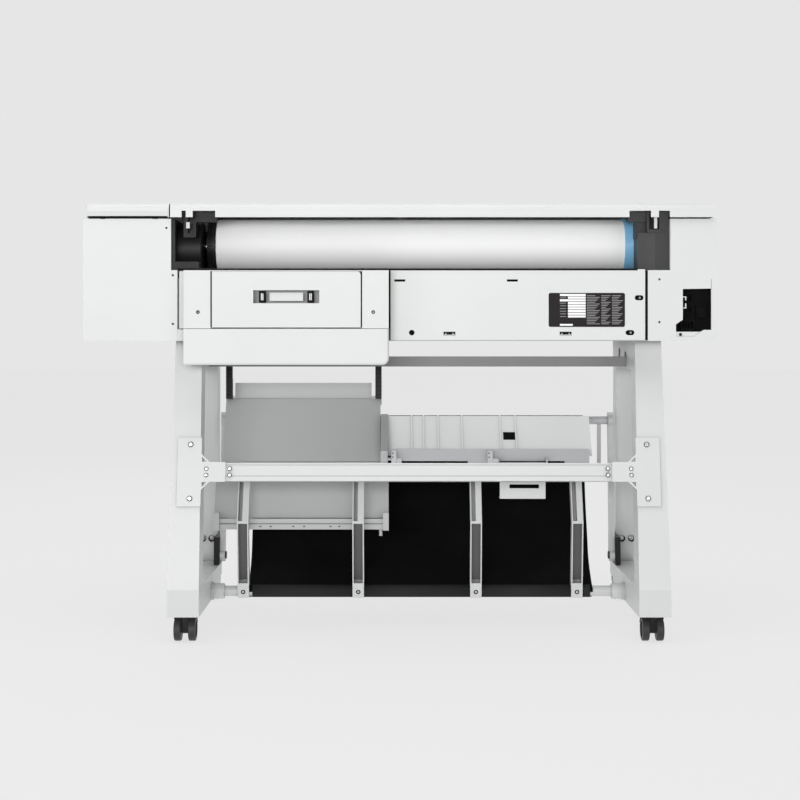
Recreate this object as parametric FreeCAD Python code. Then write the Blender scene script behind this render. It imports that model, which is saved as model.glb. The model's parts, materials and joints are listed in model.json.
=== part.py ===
import FreeCAD, Part
import math
import os

# A 36 inch roll plotter on a wheeled A-frame stand.  Millimetres, +Z up.  The front faces -Y and
# the paper roll loads from the rear, +Y.  Left and right are as seen by someone standing behind it,
# so the left end is +X.  Lengths below are in a working frame whose Y zero is the middle of the
# printer's body; ORIGIN_SHIFT moves everything so that the origin is under the middle of the whole.
V = FreeCAD.Vector
ORIGIN_SHIFT = V(0.5, 35, 0)

# Driving dimensions: the body
BODY_HALF_WIDTH = 690
BODY_BOTTOM = 653
BODY_TOP = 952
BODY_REAR = 230
BODY_FRONT = -235
SKIN = 3
COVER_TOP = 919
LID_BOTTOM = 922
BAY_FLOOR = 807
TROUGH = 790
BAY_LEFT = 498
BAY_RIGHT = -589
LOWER_LEFT = 484
LOWER_RIGHT = -540
LID_FRONT = -60

# The paper roll and its spindle
ROLL_Y = 85
ROLL_Z = 868
ROLL_RADIUS = 60
CORE_RADIUS = 25.4
ROLL_LEFT = 411.2
PAPER_WIDTH = 914.4
ROLL_RIGHT = ROLL_LEFT - PAPER_WIDTH
FLANGE_RADIUS = 63
SHAFT_RADIUS = 12
RUNNING_GAP = 0.05
GEAR_MODULE = 2.0
DRIVE_TEETH = 60
PINION_TEETH = 16
PINION_ANGLE = 225

# The stand
LEG_X = {"left": 467, "right": -550}
LEG_TOP_HALF = 29
LEG_FOOT_HALF = 34.5
FRONT_FOOT_HALF = 22
NOSE_HALF = 12
FOOT_TOP = 117
FOOT_BOTTOM = 58
PAD_HALF = 25
FOOT_FRONT = -340
FOOT_REAR = 267
FOOT_WAIST = -124
NOSE_START = -228
COLUMN_DEPTH = 63
REAR_COLUMN_TOP = 170
FRONT_COLUMN_TOP = -118
FRONT_COLUMN_FOOT = -168
FRONT_COLUMN_DEPTH = 54
LEG_HEAD = 590
SHEET = 2.5
FRONT_SPLIT = -90

# Casters
WHEEL_RADIUS = 25
WHEEL_WIDTH = {"rear": 15, "front": 5}
WHEEL_GAP = {"rear": 16.5, "front": 6}
BOSS_RADIUS = {"rear": 15, "front": 11.5}
CASTER_TRAIL = 14
CASTER_Y = {"rear": 225, "front": -303}
STEM_RADIUS = 5


def block(x0, x1, y0, y1, z0, z1):
    """A box between two corners, in whichever order they are given."""
    low = V(min(x0, x1), min(y0, y1), min(z0, z1))
    return Part.makeBox(abs(x1 - x0), abs(y1 - y0), abs(z1 - z0), low)


def rod(start, end, radius):
    """A round bar between two points."""
    axis = V(*end) - V(*start)
    return Part.makeCylinder(radius, axis.Length, V(*start), axis)


def tube(start, end, outer, inner):
    return rod(start, end, outer).cut(rod(start, end, inner))


def face_of(points):
    corners = [V(*point) for point in points]
    return Part.Face(Part.makePolygon(corners + [corners[0]]))


def prism_x(outline, x0, x1):
    """An outline in Y and Z, extruded along X."""
    return face_of([(x0, y, z) for y, z in outline]).extrude(V(x1 - x0, 0, 0))


def prism_y(outline, y0, y1):
    """An outline in X and Z, extruded along Y."""
    return face_of([(x, y0, z) for x, z in outline]).extrude(V(0, y1 - y0, 0))


def prism_z(outline, z0, z1):
    """An outline in X and Y, extruded along Z."""
    return face_of([(x, y, z0) for x, y in outline]).extrude(V(0, 0, z1 - z0))


def sheet_x(path, thickness, x0, x1):
    """A bent sheet: a path of (y, z) points, thickened on its left side, extruded along X."""
    offsets = []
    for index, point in enumerate(path):
        here = V(0, point[0], point[1])
        normals = []
        for a, b in zip(path[max(index - 1, 0):index + 1], path[max(index, 1):index + 2]):
            run = V(0, b[0] - a[0], b[1] - a[1]).normalize()
            normals.append(V(0, -run.z, run.y))
        mean = normals[0]
        for extra in normals[1:]:
            mean = mean + extra
        mean.normalize()
        here = here + mean * (thickness / max(mean.dot(normals[0]), 0.3))
        offsets.append((here.y, here.z))
    return prism_x(list(path) + offsets[::-1], x0, x1)


def fuse(solids):
    whole = solids[0]
    for solid in solids[1:]:
        whole = whole.fuse(solid)
    return whole.removeSplitter()


def cut_all(solid, tools):
    for tool in tools:
        solid = solid.cut(tool)
    return solid


def group(solids):
    """Separate solids that share one node."""
    return Part.makeCompound(solids)


def round_edges(solid, radius, test):
    """Rounds the edges whose middle passes the test, and leaves the solid as it is if that fails."""
    chosen = [edge for edge in solid.Edges if test(edge.CenterOfMass, edge)]
    if not chosen:
        return solid
    return solid.makeFillet(radius, chosen)


# ---------------------------------------------------------------- stand

def column_front_y(z):
    """The rear face of the front column, which leans forward towards the foot."""
    share = (LEG_HEAD - z) / (LEG_HEAD - FOOT_TOP)
    return FRONT_COLUMN_TOP + (FRONT_COLUMN_FOOT - FRONT_COLUMN_TOP) * share


def column_rear_y(z):
    """The rear face of the rear column, which leans back towards the foot."""
    share = (BODY_BOTTOM - z) / (BODY_BOTTOM - FOOT_TOP)
    return REAR_COLUMN_TOP + (FOOT_REAR - REAR_COLUMN_TOP) * share


def leg(side):
    """An A-frame of bent sheet: a rear column, a front column and the head that joins them."""
    middle = LEG_X[side]
    low, high = middle - LEG_FOOT_HALF, middle + LEG_FOOT_HALF
    head_front = FRONT_COLUMN_TOP - FRONT_COLUMN_DEPTH
    head_top = [(head_front, BODY_BOTTOM), (REAR_COLUMN_TOP, BODY_BOTTOM)]
    rear_foot = [(FOOT_REAR, FOOT_TOP), (FOOT_REAR - COLUMN_DEPTH, FOOT_TOP)]
    front_foot = [(FRONT_COLUMN_FOOT, FOOT_TOP), (FRONT_COLUMN_FOOT - FRONT_COLUMN_DEPTH, FOOT_TOP)]
    inner_rear = (column_rear_y(LEG_HEAD) - COLUMN_DEPTH, LEG_HEAD)
    inner_front = (FRONT_COLUMN_TOP, LEG_HEAD)
    outline = head_top + rear_foot + [inner_rear, inner_front] + front_foot + [(head_front, LEG_HEAD)]
    solid = prism_x(outline, low, high)
    taper = [
        (middle - LEG_TOP_HALF, BODY_BOTTOM), (middle + LEG_TOP_HALF, BODY_BOTTOM),
        (high, FOOT_TOP), (low, FOOT_TOP)]
    front_taper = [
        (middle - LEG_TOP_HALF, BODY_BOTTOM), (middle + LEG_TOP_HALF, BODY_BOTTOM),
        (middle + FRONT_FOOT_HALF, FOOT_TOP), (middle - FRONT_FOOT_HALF, FOOT_TOP)]
    envelope = prism_y(taper, FRONT_SPLIT, FOOT_REAR).fuse(prism_y(front_taper, FOOT_FRONT, FRONT_SPLIT))
    solid = solid.common(envelope)
    core_taper = [
        (middle - LEG_TOP_HALF + SHEET, BODY_BOTTOM), (middle + LEG_TOP_HALF - SHEET, BODY_BOTTOM),
        (high - SHEET, FOOT_TOP), (low + SHEET, FOOT_TOP)]
    rear_core = [
        (column_rear_y(LEG_HEAD) - SHEET, LEG_HEAD), (FOOT_REAR - SHEET, FOOT_TOP),
        (FOOT_REAR - COLUMN_DEPTH + SHEET, FOOT_TOP), (inner_rear[0] + SHEET, LEG_HEAD)]
    front_core = [
        (FRONT_COLUMN_TOP - SHEET, LEG_HEAD), (FRONT_COLUMN_FOOT - SHEET, FOOT_TOP),
        (front_foot[1][0] + SHEET, FOOT_TOP), (head_front + SHEET, LEG_HEAD)]
    front_core_taper = [
        (middle - LEG_TOP_HALF + SHEET, BODY_BOTTOM), (middle + LEG_TOP_HALF - SHEET, BODY_BOTTOM),
        (middle + FRONT_FOOT_HALF - SHEET, FOOT_TOP), (middle - FRONT_FOOT_HALF + SHEET, FOOT_TOP)]
    for core, core_width in ((rear_core, core_taper), (front_core, front_core_taper)):
        hollow = prism_x(core, low, high).common(prism_y(core_width, FOOT_FRONT, FOOT_REAR))
        solid = solid.cut(hollow)
    # The head is an open tray under the body, so the screws into the body can be reached.
    head_pocket = block(middle - 22, middle + 22, head_front + 20, REAR_COLUMN_TOP - 20, LEG_HEAD + 20,
                        BODY_BOTTOM)
    return solid.cut(head_pocket)


def foot_beams():
    """Two beams on the casters, open below, with a solid block at each caster stem and a lifting pad."""
    beams = []
    for side in ("left", "right"):
        middle = LEG_X[side]
        low, high = middle - LEG_FOOT_HALF, middle + LEG_FOOT_HALF
        waist = FOOT_WAIST - LEG_FOOT_HALF + FRONT_FOOT_HALF
        outline = [(low, FOOT_REAR), (high, FOOT_REAR), (high, FOOT_WAIST),
                   (middle + FRONT_FOOT_HALF, waist),
                   (middle + FRONT_FOOT_HALF, NOSE_START), (middle + NOSE_HALF, NOSE_START - 20),
                   (middle + NOSE_HALF, FOOT_FRONT), (middle - NOSE_HALF, FOOT_FRONT),
                   (middle - NOSE_HALF, NOSE_START - 20), (middle - FRONT_FOOT_HALF, NOSE_START),
                   (middle - FRONT_FOOT_HALF, waist), (low, FOOT_WAIST)]
        beam = prism_z(outline, FOOT_BOTTOM, FOOT_TOP)
        beam = beam.cut(block(low + SHEET, high - SHEET, FOOT_WAIST + 4, CASTER_Y["rear"] - 55,
                              FOOT_BOTTOM, FOOT_TOP - SHEET))
        beam = beam.cut(block(middle - FRONT_FOOT_HALF + SHEET, middle + FRONT_FOOT_HALF - SHEET,
                              NOSE_START + 4, waist - 4, FOOT_BOTTOM, FOOT_TOP - SHEET))
        pad = block(low + SHEET, high - SHEET, -PAD_HALF, PAD_HALF, FOOT_BOTTOM - 1, FOOT_TOP - SHEET)
        beam = beam.fuse(pad)
        for place in ("rear", "front"):
            y = stem_y(place)
            beam = beam.cut(rod((middle, y, FOOT_BOTTOM), (middle, y, 92), STEM_RADIUS + RUNNING_GAP))
        beams.append(beam)
    return group(beams)


def stem_y(place):
    return CASTER_Y[place] - CASTER_TRAIL


def caster_fork(side, place):
    """A hood over twin wheels, a web between them, and the swivel stem above."""
    x = LEG_X[side]
    y = CASTER_Y[place]
    stem = stem_y(place)
    half = WHEEL_GAP[place] / 2 - 1.2
    web = block(x - half, x + half, stem - 12, y + 9, 20, 50)
    hub = rod((x - half, y, WHEEL_RADIUS), (x + half, y, WHEEL_RADIUS), 9)
    width = WHEEL_GAP[place] / 2 + WHEEL_WIDTH[place]
    hood = tube((x - width, y, WHEEL_RADIUS), (x + width, y, WHEEL_RADIUS), 29.5, 26.5)
    hood = hood.cut(block(x - width, x + width, y - 40, y + 40, -10, WHEEL_RADIUS + 10))
    hood = hood.cut(block(x - width, x + width, y + 12, y + 40, 0, WHEEL_RADIUS + 30))
    boss = rod((x, stem, 44), (x, stem, FOOT_BOTTOM - 0.4), BOSS_RADIUS[place])
    for x0, x1 in ((x - width, x - half), (x + half, x + width)):
        boss = boss.cut(rod((x0, y, WHEEL_RADIUS), (x1, y, WHEEL_RADIUS), 26.5))
    stem_bar = rod((x, stem, 50), (x, stem, 90), STEM_RADIUS)
    axle = rod((x - width + 2, y, WHEEL_RADIUS), (x + width - 2, y, WHEEL_RADIUS), 3)
    return fuse([web, hub, hood, boss, stem_bar, axle])


def caster_wheels(side, place):
    """Two wheels that turn together on the fork's axle."""
    x = LEG_X[side]
    y = CASTER_Y[place]
    wheels = []
    for sign in (-1, 1):
        inner = x + sign * WHEEL_GAP[place] / 2
        outer = inner + sign * WHEEL_WIDTH[place]
        wheel = rod((inner, y, WHEEL_RADIUS), (outer, y, WHEEL_RADIUS), WHEEL_RADIUS)
        wheel = wheel.makeFillet(WHEEL_WIDTH[place] / 6, [e for e in wheel.Edges if e.Length > 100])
        dish = rod((outer - sign * WHEEL_WIDTH[place] / 5, y, WHEEL_RADIUS), (outer, y, WHEEL_RADIUS),
                   WHEEL_RADIUS - 7)
        bore = rod((inner, y, WHEEL_RADIUS), (outer, y, WHEEL_RADIUS), 3 + RUNNING_GAP)
        wheels.append(wheel.cut(dish).cut(bore))
    return group(wheels)


# The cross brace lies on the sloped rear faces of the rear columns.
BRACE_Z = 367
BRACE_HEIGHT = 39
BRACE_DEPTH = 24
PLATE_THICK = 3
PLATE_HALF_HEIGHT = 75
PLATE_HALF_WIDTH = 26
PLATE_X = {"left": 459, "right": -542}
TONGUE_REACH = 53
GUSSET = 18
SCREW_REACH = (11, 62)


def lean_brace(solid):
    """Tilts a piece made upright at the brace to the slope of the rear columns."""
    slope = math.degrees(math.atan2(FOOT_REAR - REAR_COLUMN_TOP, BODY_BOTTOM - FOOT_TOP))
    solid.rotate(V(0, column_rear_y(BRACE_Z), BRACE_Z), V(1, 0, 0), slope)
    return solid


def brace_plates():
    """Two T-shaped plates: bolted to a column, with a tongue over the end of the brace."""
    plates = []
    face = column_rear_y(BRACE_Z)
    for side, inward in (("left", -1), ("right", 1)):
        x = PLATE_X[side]
        edge = x + inward * PLATE_HALF_WIDTH
        tip = edge + inward * TONGUE_REACH
        half = BRACE_HEIGHT / 2 + 2
        outline = [
            (x - inward * PLATE_HALF_WIDTH, BRACE_Z - PLATE_HALF_HEIGHT),
            (edge, BRACE_Z - PLATE_HALF_HEIGHT), (edge, BRACE_Z - half - GUSSET),
            (edge + inward * GUSSET, BRACE_Z - half), (tip, BRACE_Z - half),
            (tip, BRACE_Z + half), (edge + inward * GUSSET, BRACE_Z + half),
            (edge, BRACE_Z + half + GUSSET), (edge, BRACE_Z + PLATE_HALF_HEIGHT),
            (x - inward * PLATE_HALF_WIDTH, BRACE_Z + PLATE_HALF_HEIGHT)]
        plate = prism_y(outline, face, face + PLATE_THICK)
        for up in (-1, 1):
            corner = (edge + inward * 1.5, BRACE_Z + up * (half + 0.5))
            window = [corner, (corner[0] + inward * 11, corner[1]), (corner[0], corner[1] + up * 11)]
            plate = plate.cut(prism_y(window, face - 1, face + PLATE_THICK + 1))
        plates.append(lean_brace(plate))
    return group(plates)


def cross_brace():
    """A box-section beam between the two rear columns."""
    face = column_rear_y(BRACE_Z)
    low, high = LEG_X["right"] + LEG_FOOT_HALF, LEG_X["left"] - LEG_FOOT_HALF
    half = BRACE_HEIGHT / 2
    beam = block(low, high, face - BRACE_DEPTH, face, BRACE_Z - half, BRACE_Z + half)
    hollow = block(low, high, face - BRACE_DEPTH + 2, face - 2, BRACE_Z - half + 2, BRACE_Z + half - 2)
    return lean_brace(beam.cut(hollow))


def upper_beam():
    """A bent channel just under the body, between the leg heads, open below."""
    low, high = LEG_X["right"] + LEG_TOP_HALF + 0.7, LEG_X["left"] - LEG_TOP_HALF - 0.7
    beam = block(low, high, 14, 50, 594, 617)
    return beam.cut(block(low, high, 16, 48, 594, 615))


def pan_head(x, y, z, radius=4.5, height=2.6):
    """A screw head that stands out of a rear face, with a cross recess."""
    head = rod((x, y, z), (x, y + height, z), radius)
    head = head.makeFillet(1.2,
                           [e for e in head.Edges if e.CenterOfMass.y > y + height - 0.1 and e.Length > 20])
    for angle in (0, 90):
        slot = block(x - radius * 0.55, x + radius * 0.55, y + height - 1.2, y + height + 1, z - 0.5,
                     z + 0.5)
        slot.rotate(V(x, y, z), V(0, 1, 0), angle)
        head = head.cut(slot)
    return head


def stand_screws():
    """The screws of the brace plates, and the bolts of the front columns."""
    screws = []
    face = column_rear_y(BRACE_Z) + PLATE_THICK
    for side, inward in (("left", -1), ("right", 1)):
        x = PLATE_X[side]
        for dz in (-58, 60):
            screws.append(lean_brace(pan_head(x + inward * 2, face, BRACE_Z + dz)))
        for reach in SCREW_REACH:
            for dz in (-7, 7):
                place = x + inward * (PLATE_HALF_WIDTH + reach)
                screws.append(lean_brace(pan_head(place, face, BRACE_Z + dz, 3.6, 2.2)))
    return group(screws)


# ---------------------------------------------------------------- paper bin under the body
BIN_TUBE_Y = 50
BIN_TUBE_Z = 79
BIN_TUBE_RADIUS = 12
BIN_TOP_Y = -128
BIN_TOP_Z = 461
BIN_TOP_RADIUS = 9.5
ARM_PIVOT_Y = -100
ARM_PIVOT_Z = 140
ARM_LEFT = 424
ARM_RIGHT = -508
FITTING_RADIUS = 17.5
HANGER_X = (397, -481)
HANGER_DROP = 130
STRUT_X = (358, 95, -174, -405)
STRUT_WIDTH = 26
FABRIC_LEFT = 347
FABRIC_RIGHT = -442


def bin_lower_tube():
    """The tube along the foot of the bin, in a socket on each foot beam."""
    low, high = LEG_X["right"] + LEG_FOOT_HALF, LEG_X["left"] - LEG_FOOT_HALF
    solids = [rod((low, BIN_TUBE_Y, BIN_TUBE_Z), (high, BIN_TUBE_Y, BIN_TUBE_Z), BIN_TUBE_RADIUS)]
    for end, reach in ((low, 30), (high, -30)):
        solids.append(rod((end, BIN_TUBE_Y, BIN_TUBE_Z), (end + reach, BIN_TUBE_Y, BIN_TUBE_Z),
                          FITTING_RADIUS))
        solids.append(rod((end, BIN_TUBE_Y, BIN_TUBE_Z), (end + reach / 5, BIN_TUBE_Y, BIN_TUBE_Z),
                          FITTING_RADIUS + 3))
    return fuse(solids)


def bin_struts():
    """Four bent channels, open to the rear, that stand on the lower tube and carry the tray's rail."""
    knee_y, knee_z = 73, 240
    top_y = 17
    wall = 2.5
    struts = []
    for x in STRUT_X:
        top_z = TRAY_FOOT[1] - 8 - (CARRIER_DROP if x > TRAY_LEFT else 0)
        low, high = x - STRUT_WIDTH / 2, x + STRUT_WIDTH / 2
        outline = [
            (BIN_TUBE_Y + 14, BIN_TUBE_Z - 14), (knee_y + 9, knee_z), (top_y + 11, top_z),
            (top_y - 11, top_z), (knee_y - 13, knee_z - 4), (BIN_TUBE_Y - 14, BIN_TUBE_Z - 14)]
        strut = prism_x(outline, low, high)
        lower = [
            (BIN_TUBE_Y + 18, BIN_TUBE_Z + 20), (knee_y + 13, knee_z - 3),
            (knee_y - 13 + wall, knee_z - 3), (BIN_TUBE_Y - 9, BIN_TUBE_Z + 20)]
        upper = [
            (knee_y + 13, knee_z + 3), (top_y + 15, top_z + 1),
            (top_y - 11 + wall, top_z + 1), (knee_y - 13 + wall, knee_z + 3)]
        strut = strut.cut(prism_x(lower, low + wall, high - wall))
        strut = strut.cut(prism_x(upper, x + 1, high - wall))
        struts.append(strut.cut(rod((low, BIN_TUBE_Y, BIN_TUBE_Z), (high, BIN_TUBE_Y, BIN_TUBE_Z),
                                    BIN_TUBE_RADIUS + 0.1)))
    return group(struts)


def bin_arms():
    """The two side arms and the top tube, one swinging frame that carries the fabric's top hem."""
    solids = []
    for x, inward in ((ARM_LEFT, -1), (ARM_RIGHT, 1)):
        outer = x - inward * 6
        inner = x + inward * 6
        foot_y, foot_z = ARM_PIVOT_Y, ARM_PIVOT_Z
        lean = math.atan2(BIN_TOP_Y - foot_y, BIN_TOP_Z - foot_z)
        across = V(0, math.cos(lean) * 11, -math.sin(lean) * 11)
        along = V(0, BIN_TOP_Y - foot_y, BIN_TOP_Z - foot_z)
        tip = V(0, foot_y, foot_z) + along * 1.06
        outline = [
            (foot_y + across.y, foot_z + across.z), (tip.y + across.y, tip.z + across.z),
            (tip.y - across.y, tip.z - across.z), (foot_y - across.y, foot_z - across.z)]
        arm = prism_x(outline, outer, inner)
        boss = rod((outer, foot_y, foot_z), (inner, foot_y, foot_z), 15)
        cap = rod((outer, BIN_TOP_Y, BIN_TOP_Z), (inner, BIN_TOP_Y, BIN_TOP_Z), 16)
        hole = rod((outer, foot_y, foot_z), (inner, foot_y, foot_z), 6 + RUNNING_GAP)
        solids.append(fuse([arm, boss, cap]).cut(hole))
    solids.append(rod((ARM_RIGHT + 6, BIN_TOP_Y, BIN_TOP_Z), (ARM_LEFT - 6, BIN_TOP_Y, BIN_TOP_Z),
                      BIN_TOP_RADIUS))
    for x in HANGER_X:
        solids.append(block(x - 4.5, x + 4.5, BIN_TOP_Y - 3, BIN_TOP_Y + 3, BIN_TOP_Z - HANGER_DROP,
                            BIN_TOP_Z))
    return fuse(solids)


def arm_brackets():
    """Black hook brackets on the front columns, each with the pin that its arm swings on."""
    solids = []
    for side, x, inward in (("left", ARM_LEFT, -1), ("right", ARM_RIGHT, 1)):
        share = (ARM_PIVOT_Z + 44 - FOOT_TOP) / (BODY_BOTTOM - FOOT_TOP)
        column_half = FRONT_FOOT_HALF + (LEG_TOP_HALF - FRONT_FOOT_HALF) * share
        leg_face = LEG_X[side] + inward * (column_half + 0.2)
        plate_y = column_front_y(ARM_PIVOT_Z)
        plate = block(leg_face, x - inward * 6.4, plate_y - 40, ARM_PIVOT_Y + 16, ARM_PIVOT_Z - 22,
                      ARM_PIVOT_Z + 44)
        pin = rod((x - inward * 6.4, ARM_PIVOT_Y, ARM_PIVOT_Z), (x + inward * 8, ARM_PIVOT_Y, ARM_PIVOT_Z),
                  6)
        head = rod((x + inward * 6.4, ARM_PIVOT_Y, ARM_PIVOT_Z),
                   (x + inward * 9, ARM_PIVOT_Y, ARM_PIVOT_Z), 9)
        solids.append(fuse([plate, pin, head]))
    return group(solids)


def bin_fabric():
    """The cloth that closes the front of the bin, from the lower tube up to the swinging top tube."""
    path = [(BIN_TUBE_Y - 16, BIN_TUBE_Z), (-66, 203), (-118, 309), (BIN_TOP_Y + 15, BIN_TOP_Z)]
    return sheet_x(path, 2.5, FABRIC_RIGHT, FABRIC_LEFT)


# ---------------------------------------------------------------- stacker under the body
RAMP_LEFT = 416
RAMP_RIGHT = 46
RAMP_FOOT = (24, 243)
FLAP_LEFT = 429.5
FLAP_RIGHT = 26
FLAP_TOP = (-27, 350)
RAMP_HEAD = (-104, 512)
RACK_X = (408, 51)
RACK_HALF = 7.5
TRAY_LEFT = 28
TRAY_RIGHT = -447
TRAY_FOOT = (8, 385)
CARRIER_DROP = 10
TRAY_CREST = (-55, 472)
RIB_X = (-28, -56, -90, -146, -236, -272)
LIP_LEFT = 18
LIP_RIGHT = -437
LATCH_LEFT = -230
LATCH_RIGHT = -335
LATCH_Y = 44.5
LATCH_Z = 369


def stacker_ramp():
    """A folded sheet-metal guide that slopes forward from the lower rail to the racks, wider at its foot."""
    path = [RAMP_FOOT, RAMP_HEAD, (RAMP_HEAD[0] - 30, RAMP_HEAD[1] + 6)]
    guide = sheet_x(path[::-1], 2, RAMP_RIGHT, RAMP_LEFT)
    flap = sheet_x([FLAP_TOP, RAMP_FOOT], 2, FLAP_RIGHT, FLAP_LEFT)
    top = block(RAMP_LEFT - 21, RAMP_RIGHT + 22, -112, -106, 513, 552)
    ears = [block(x - RACK_HALF, x + RACK_HALF, -112, -104, 500, 563) for x in RACK_X]
    return fuse([guide.cut(fuse(ears)), flap, top] + ears)


def ramp_rail():
    """The rail under the ramp's lower edge, with an end block at each side."""
    y, z = RAMP_FOOT
    rail = block(FLAP_RIGHT, FLAP_LEFT, y - 2, y + 12, z - 25, z - 0.5)
    groove = block(FLAP_RIGHT, FLAP_LEFT, y + 8, y + 12, z - 13, z - 10)
    ends = [block(x0, x1, y - 4, y + 15, z - 27, z + 14)
            for x0, x1 in ((FLAP_RIGHT - 0.5, FLAP_RIGHT + 13), (FLAP_LEFT - 13, FLAP_LEFT + 0.5))]
    pin = rod((FLAP_RIGHT + 18, y + 6, z - 40), (FLAP_RIGHT + 18, y + 6, z - 24), 4)
    notch = [block(x0, x1, y - 5, y + 5, z - 0.5, z + 15)
             for x0, x1 in ((FLAP_RIGHT - 1, FLAP_RIGHT + 14), (FLAP_LEFT - 14, FLAP_LEFT + 1))]
    return cut_all(fuse([rail.cut(groove), pin] + ends), notch)


def ramp_racks():
    """Two toothed racks that hang under the body and hold the ramp's upper edge."""
    racks = []
    for x in RACK_X:
        rack = block(x - RACK_HALF, x + RACK_HALF, -104, -90, 514.5, BODY_BOTTOM)
        for step in range(13):
            z = 520 + step * 10
            rack = rack.cut(block(x - RACK_HALF + 2, x + RACK_HALF - 2, -96, -90, z, z + 5))
        racks.append(rack)
    return group(racks)


def output_tray():
    """The ribbed tray that the paper slides over, with a raised crest and an end wall."""
    low, high = TRAY_RIGHT, TRAY_LEFT
    crest_y, crest_z = TRAY_CREST
    path = [(crest_y - 40, crest_z - 26), (crest_y - 14, crest_z - 3), TRAY_CREST, TRAY_FOOT]
    skin = sheet_x(path, 3, low, high)
    solids = [skin]
    for x in RIB_X:
        rib = prism_x([(TRAY_FOOT[0], TRAY_FOOT[1]), (crest_y, crest_z), (crest_y + 3, crest_z + 5),
                       (TRAY_FOOT[0] + 5, TRAY_FOOT[1] + 5)], x - 1.6, x + 1.6)
        solids.append(rib)
    return fuse(solids)


def tray_rail():
    """The grey rail along the tray's rear edge, which the four struts carry."""
    y, z = TRAY_FOOT
    rail = block(LIP_RIGHT, TRAY_LEFT, y + 0.5, y + 30, z - 8, z - 2)
    lip = block(LIP_RIGHT, LIP_LEFT, y + 26, y + 30, z - 22, z + 19)
    for x0, x1 in ((-157, 7), (-380, -221)):
        lip = lip.cut(block(x0, x1, y + 25, y + 31, z - 15, z - 9))
    crest_y, crest_z = TRAY_CREST
    cheek = [(crest_y - 36, crest_z - 34), (crest_y - 16, crest_z + 6), (crest_y + 6, crest_z + 8),
             (y + 30, z + 14), (y + 30, z - 8 - CARRIER_DROP), (y - 4, z - 8 - CARRIER_DROP)]
    wall = prism_x(cheek, TRAY_LEFT, RAMP_RIGHT - 1.5)
    carrier = block(TRAY_LEFT + 4, STRUT_X[0] + 11, y + 4, y + 26, z - 8 - CARRIER_DROP,
                    z - 2 - CARRIER_DROP)
    solids = [rail, lip, wall, carrier]
    for x0, x1 in ((LATCH_LEFT + 1, LATCH_LEFT + 5), (LATCH_RIGHT - 5, LATCH_RIGHT - 1)):
        solids.append(block(x0, x1, LATCH_Y - 6.5, LATCH_Y + 5, LATCH_Z - 5, z - 2))
    solids.append(rod((LATCH_RIGHT - 5, LATCH_Y, LATCH_Z), (LATCH_LEFT + 5, LATCH_Y, LATCH_Z), 2.5))
    return fuse(solids)


def tray_latch():
    """The pull handle that hangs under the tray rail from a pin at its upper edge."""
    plate = block(LATCH_RIGHT, LATCH_LEFT, LATCH_Y - 2.5, LATCH_Y + 2.5, 294, LATCH_Z)
    grip = block(LATCH_RIGHT, LATCH_LEFT, LATCH_Y - 20, LATCH_Y + 2.5, 290, 295)
    slot = block(LATCH_RIGHT + 15, LATCH_LEFT - 22, LATCH_Y - 3, LATCH_Y + 3, 314, 323)
    barrel = rod((LATCH_RIGHT, LATCH_Y, LATCH_Z), (LATCH_LEFT, LATCH_Y, LATCH_Z), 5)
    bore = rod((LATCH_RIGHT - 1, LATCH_Y, LATCH_Z), (LATCH_LEFT + 1, LATCH_Y, LATCH_Z), 2.5 + RUNNING_GAP)
    return fuse([plate, grip, barrel]).cut(slot).cut(bore)


# ---------------------------------------------------------------- body: chassis and covers
SIDE_PLATE = 2.5
CHASSIS_LEFT = LOWER_LEFT - 1
CHASSIS_RIGHT = LOWER_RIGHT + 1
BEAM_ROD_Y = -112
BEAM_ROD_Z = 838
BEAM_ROD_RADIUS = 7
FEED_Y = -58
FEED_Z = 772
FEED_RADIUS = 13
FEED_SHAFT = 5


def chassis():
    """The folded floor of the body, with a side plate at each end of the paper path."""
    floor = block(LOWER_RIGHT, LOWER_LEFT, BODY_FRONT + 6, BODY_REAR - 3, BODY_BOTTOM, BODY_BOTTOM + 2)
    solids = [floor]
    for x, inward in ((CHASSIS_LEFT, -1), (CHASSIS_RIGHT, 1)):
        plate = block(x, x + inward * SIDE_PLATE, BODY_FRONT + 42, BODY_REAR - 8, BODY_BOTTOM + 2, TROUGH)
        bearing = rod((x, FEED_Y, FEED_Z), (x + inward * 8, FEED_Y, FEED_Z), 12)
        hole = rod((x, FEED_Y, FEED_Z), (x + inward * 8, FEED_Y, FEED_Z), FEED_SHAFT + RUNNING_GAP)
        solids.append(fuse([plate, bearing]).cut(hole))
    sill = block(CHASSIS_RIGHT + SIDE_PLATE, CHASSIS_LEFT - SIDE_PLATE, 176, 178, BODY_BOTTOM + 2, TROUGH)
    return fuse(solids + [sill])


def bay_liner():
    """The black trough that the roll turns in, closed at the front and open to the rear."""
    path = [(0, COVER_TOP - 12), (0, BAY_FLOOR), (6, TROUGH), (BODY_REAR - 3, TROUGH)]
    trough = sheet_x(path, 3, LOWER_RIGHT + 0.5, LOWER_LEFT - 0.5)
    wings = [block(x0, x1, 0, 3, BAY_FLOOR + 0.5, COVER_TOP - 12) for x0, x1 in
             ((LOWER_LEFT - 0.5, BAY_LEFT - 0.5), (BAY_RIGHT + 0.5, LOWER_RIGHT + 0.5))]
    return fuse([trough] + wings)


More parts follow.
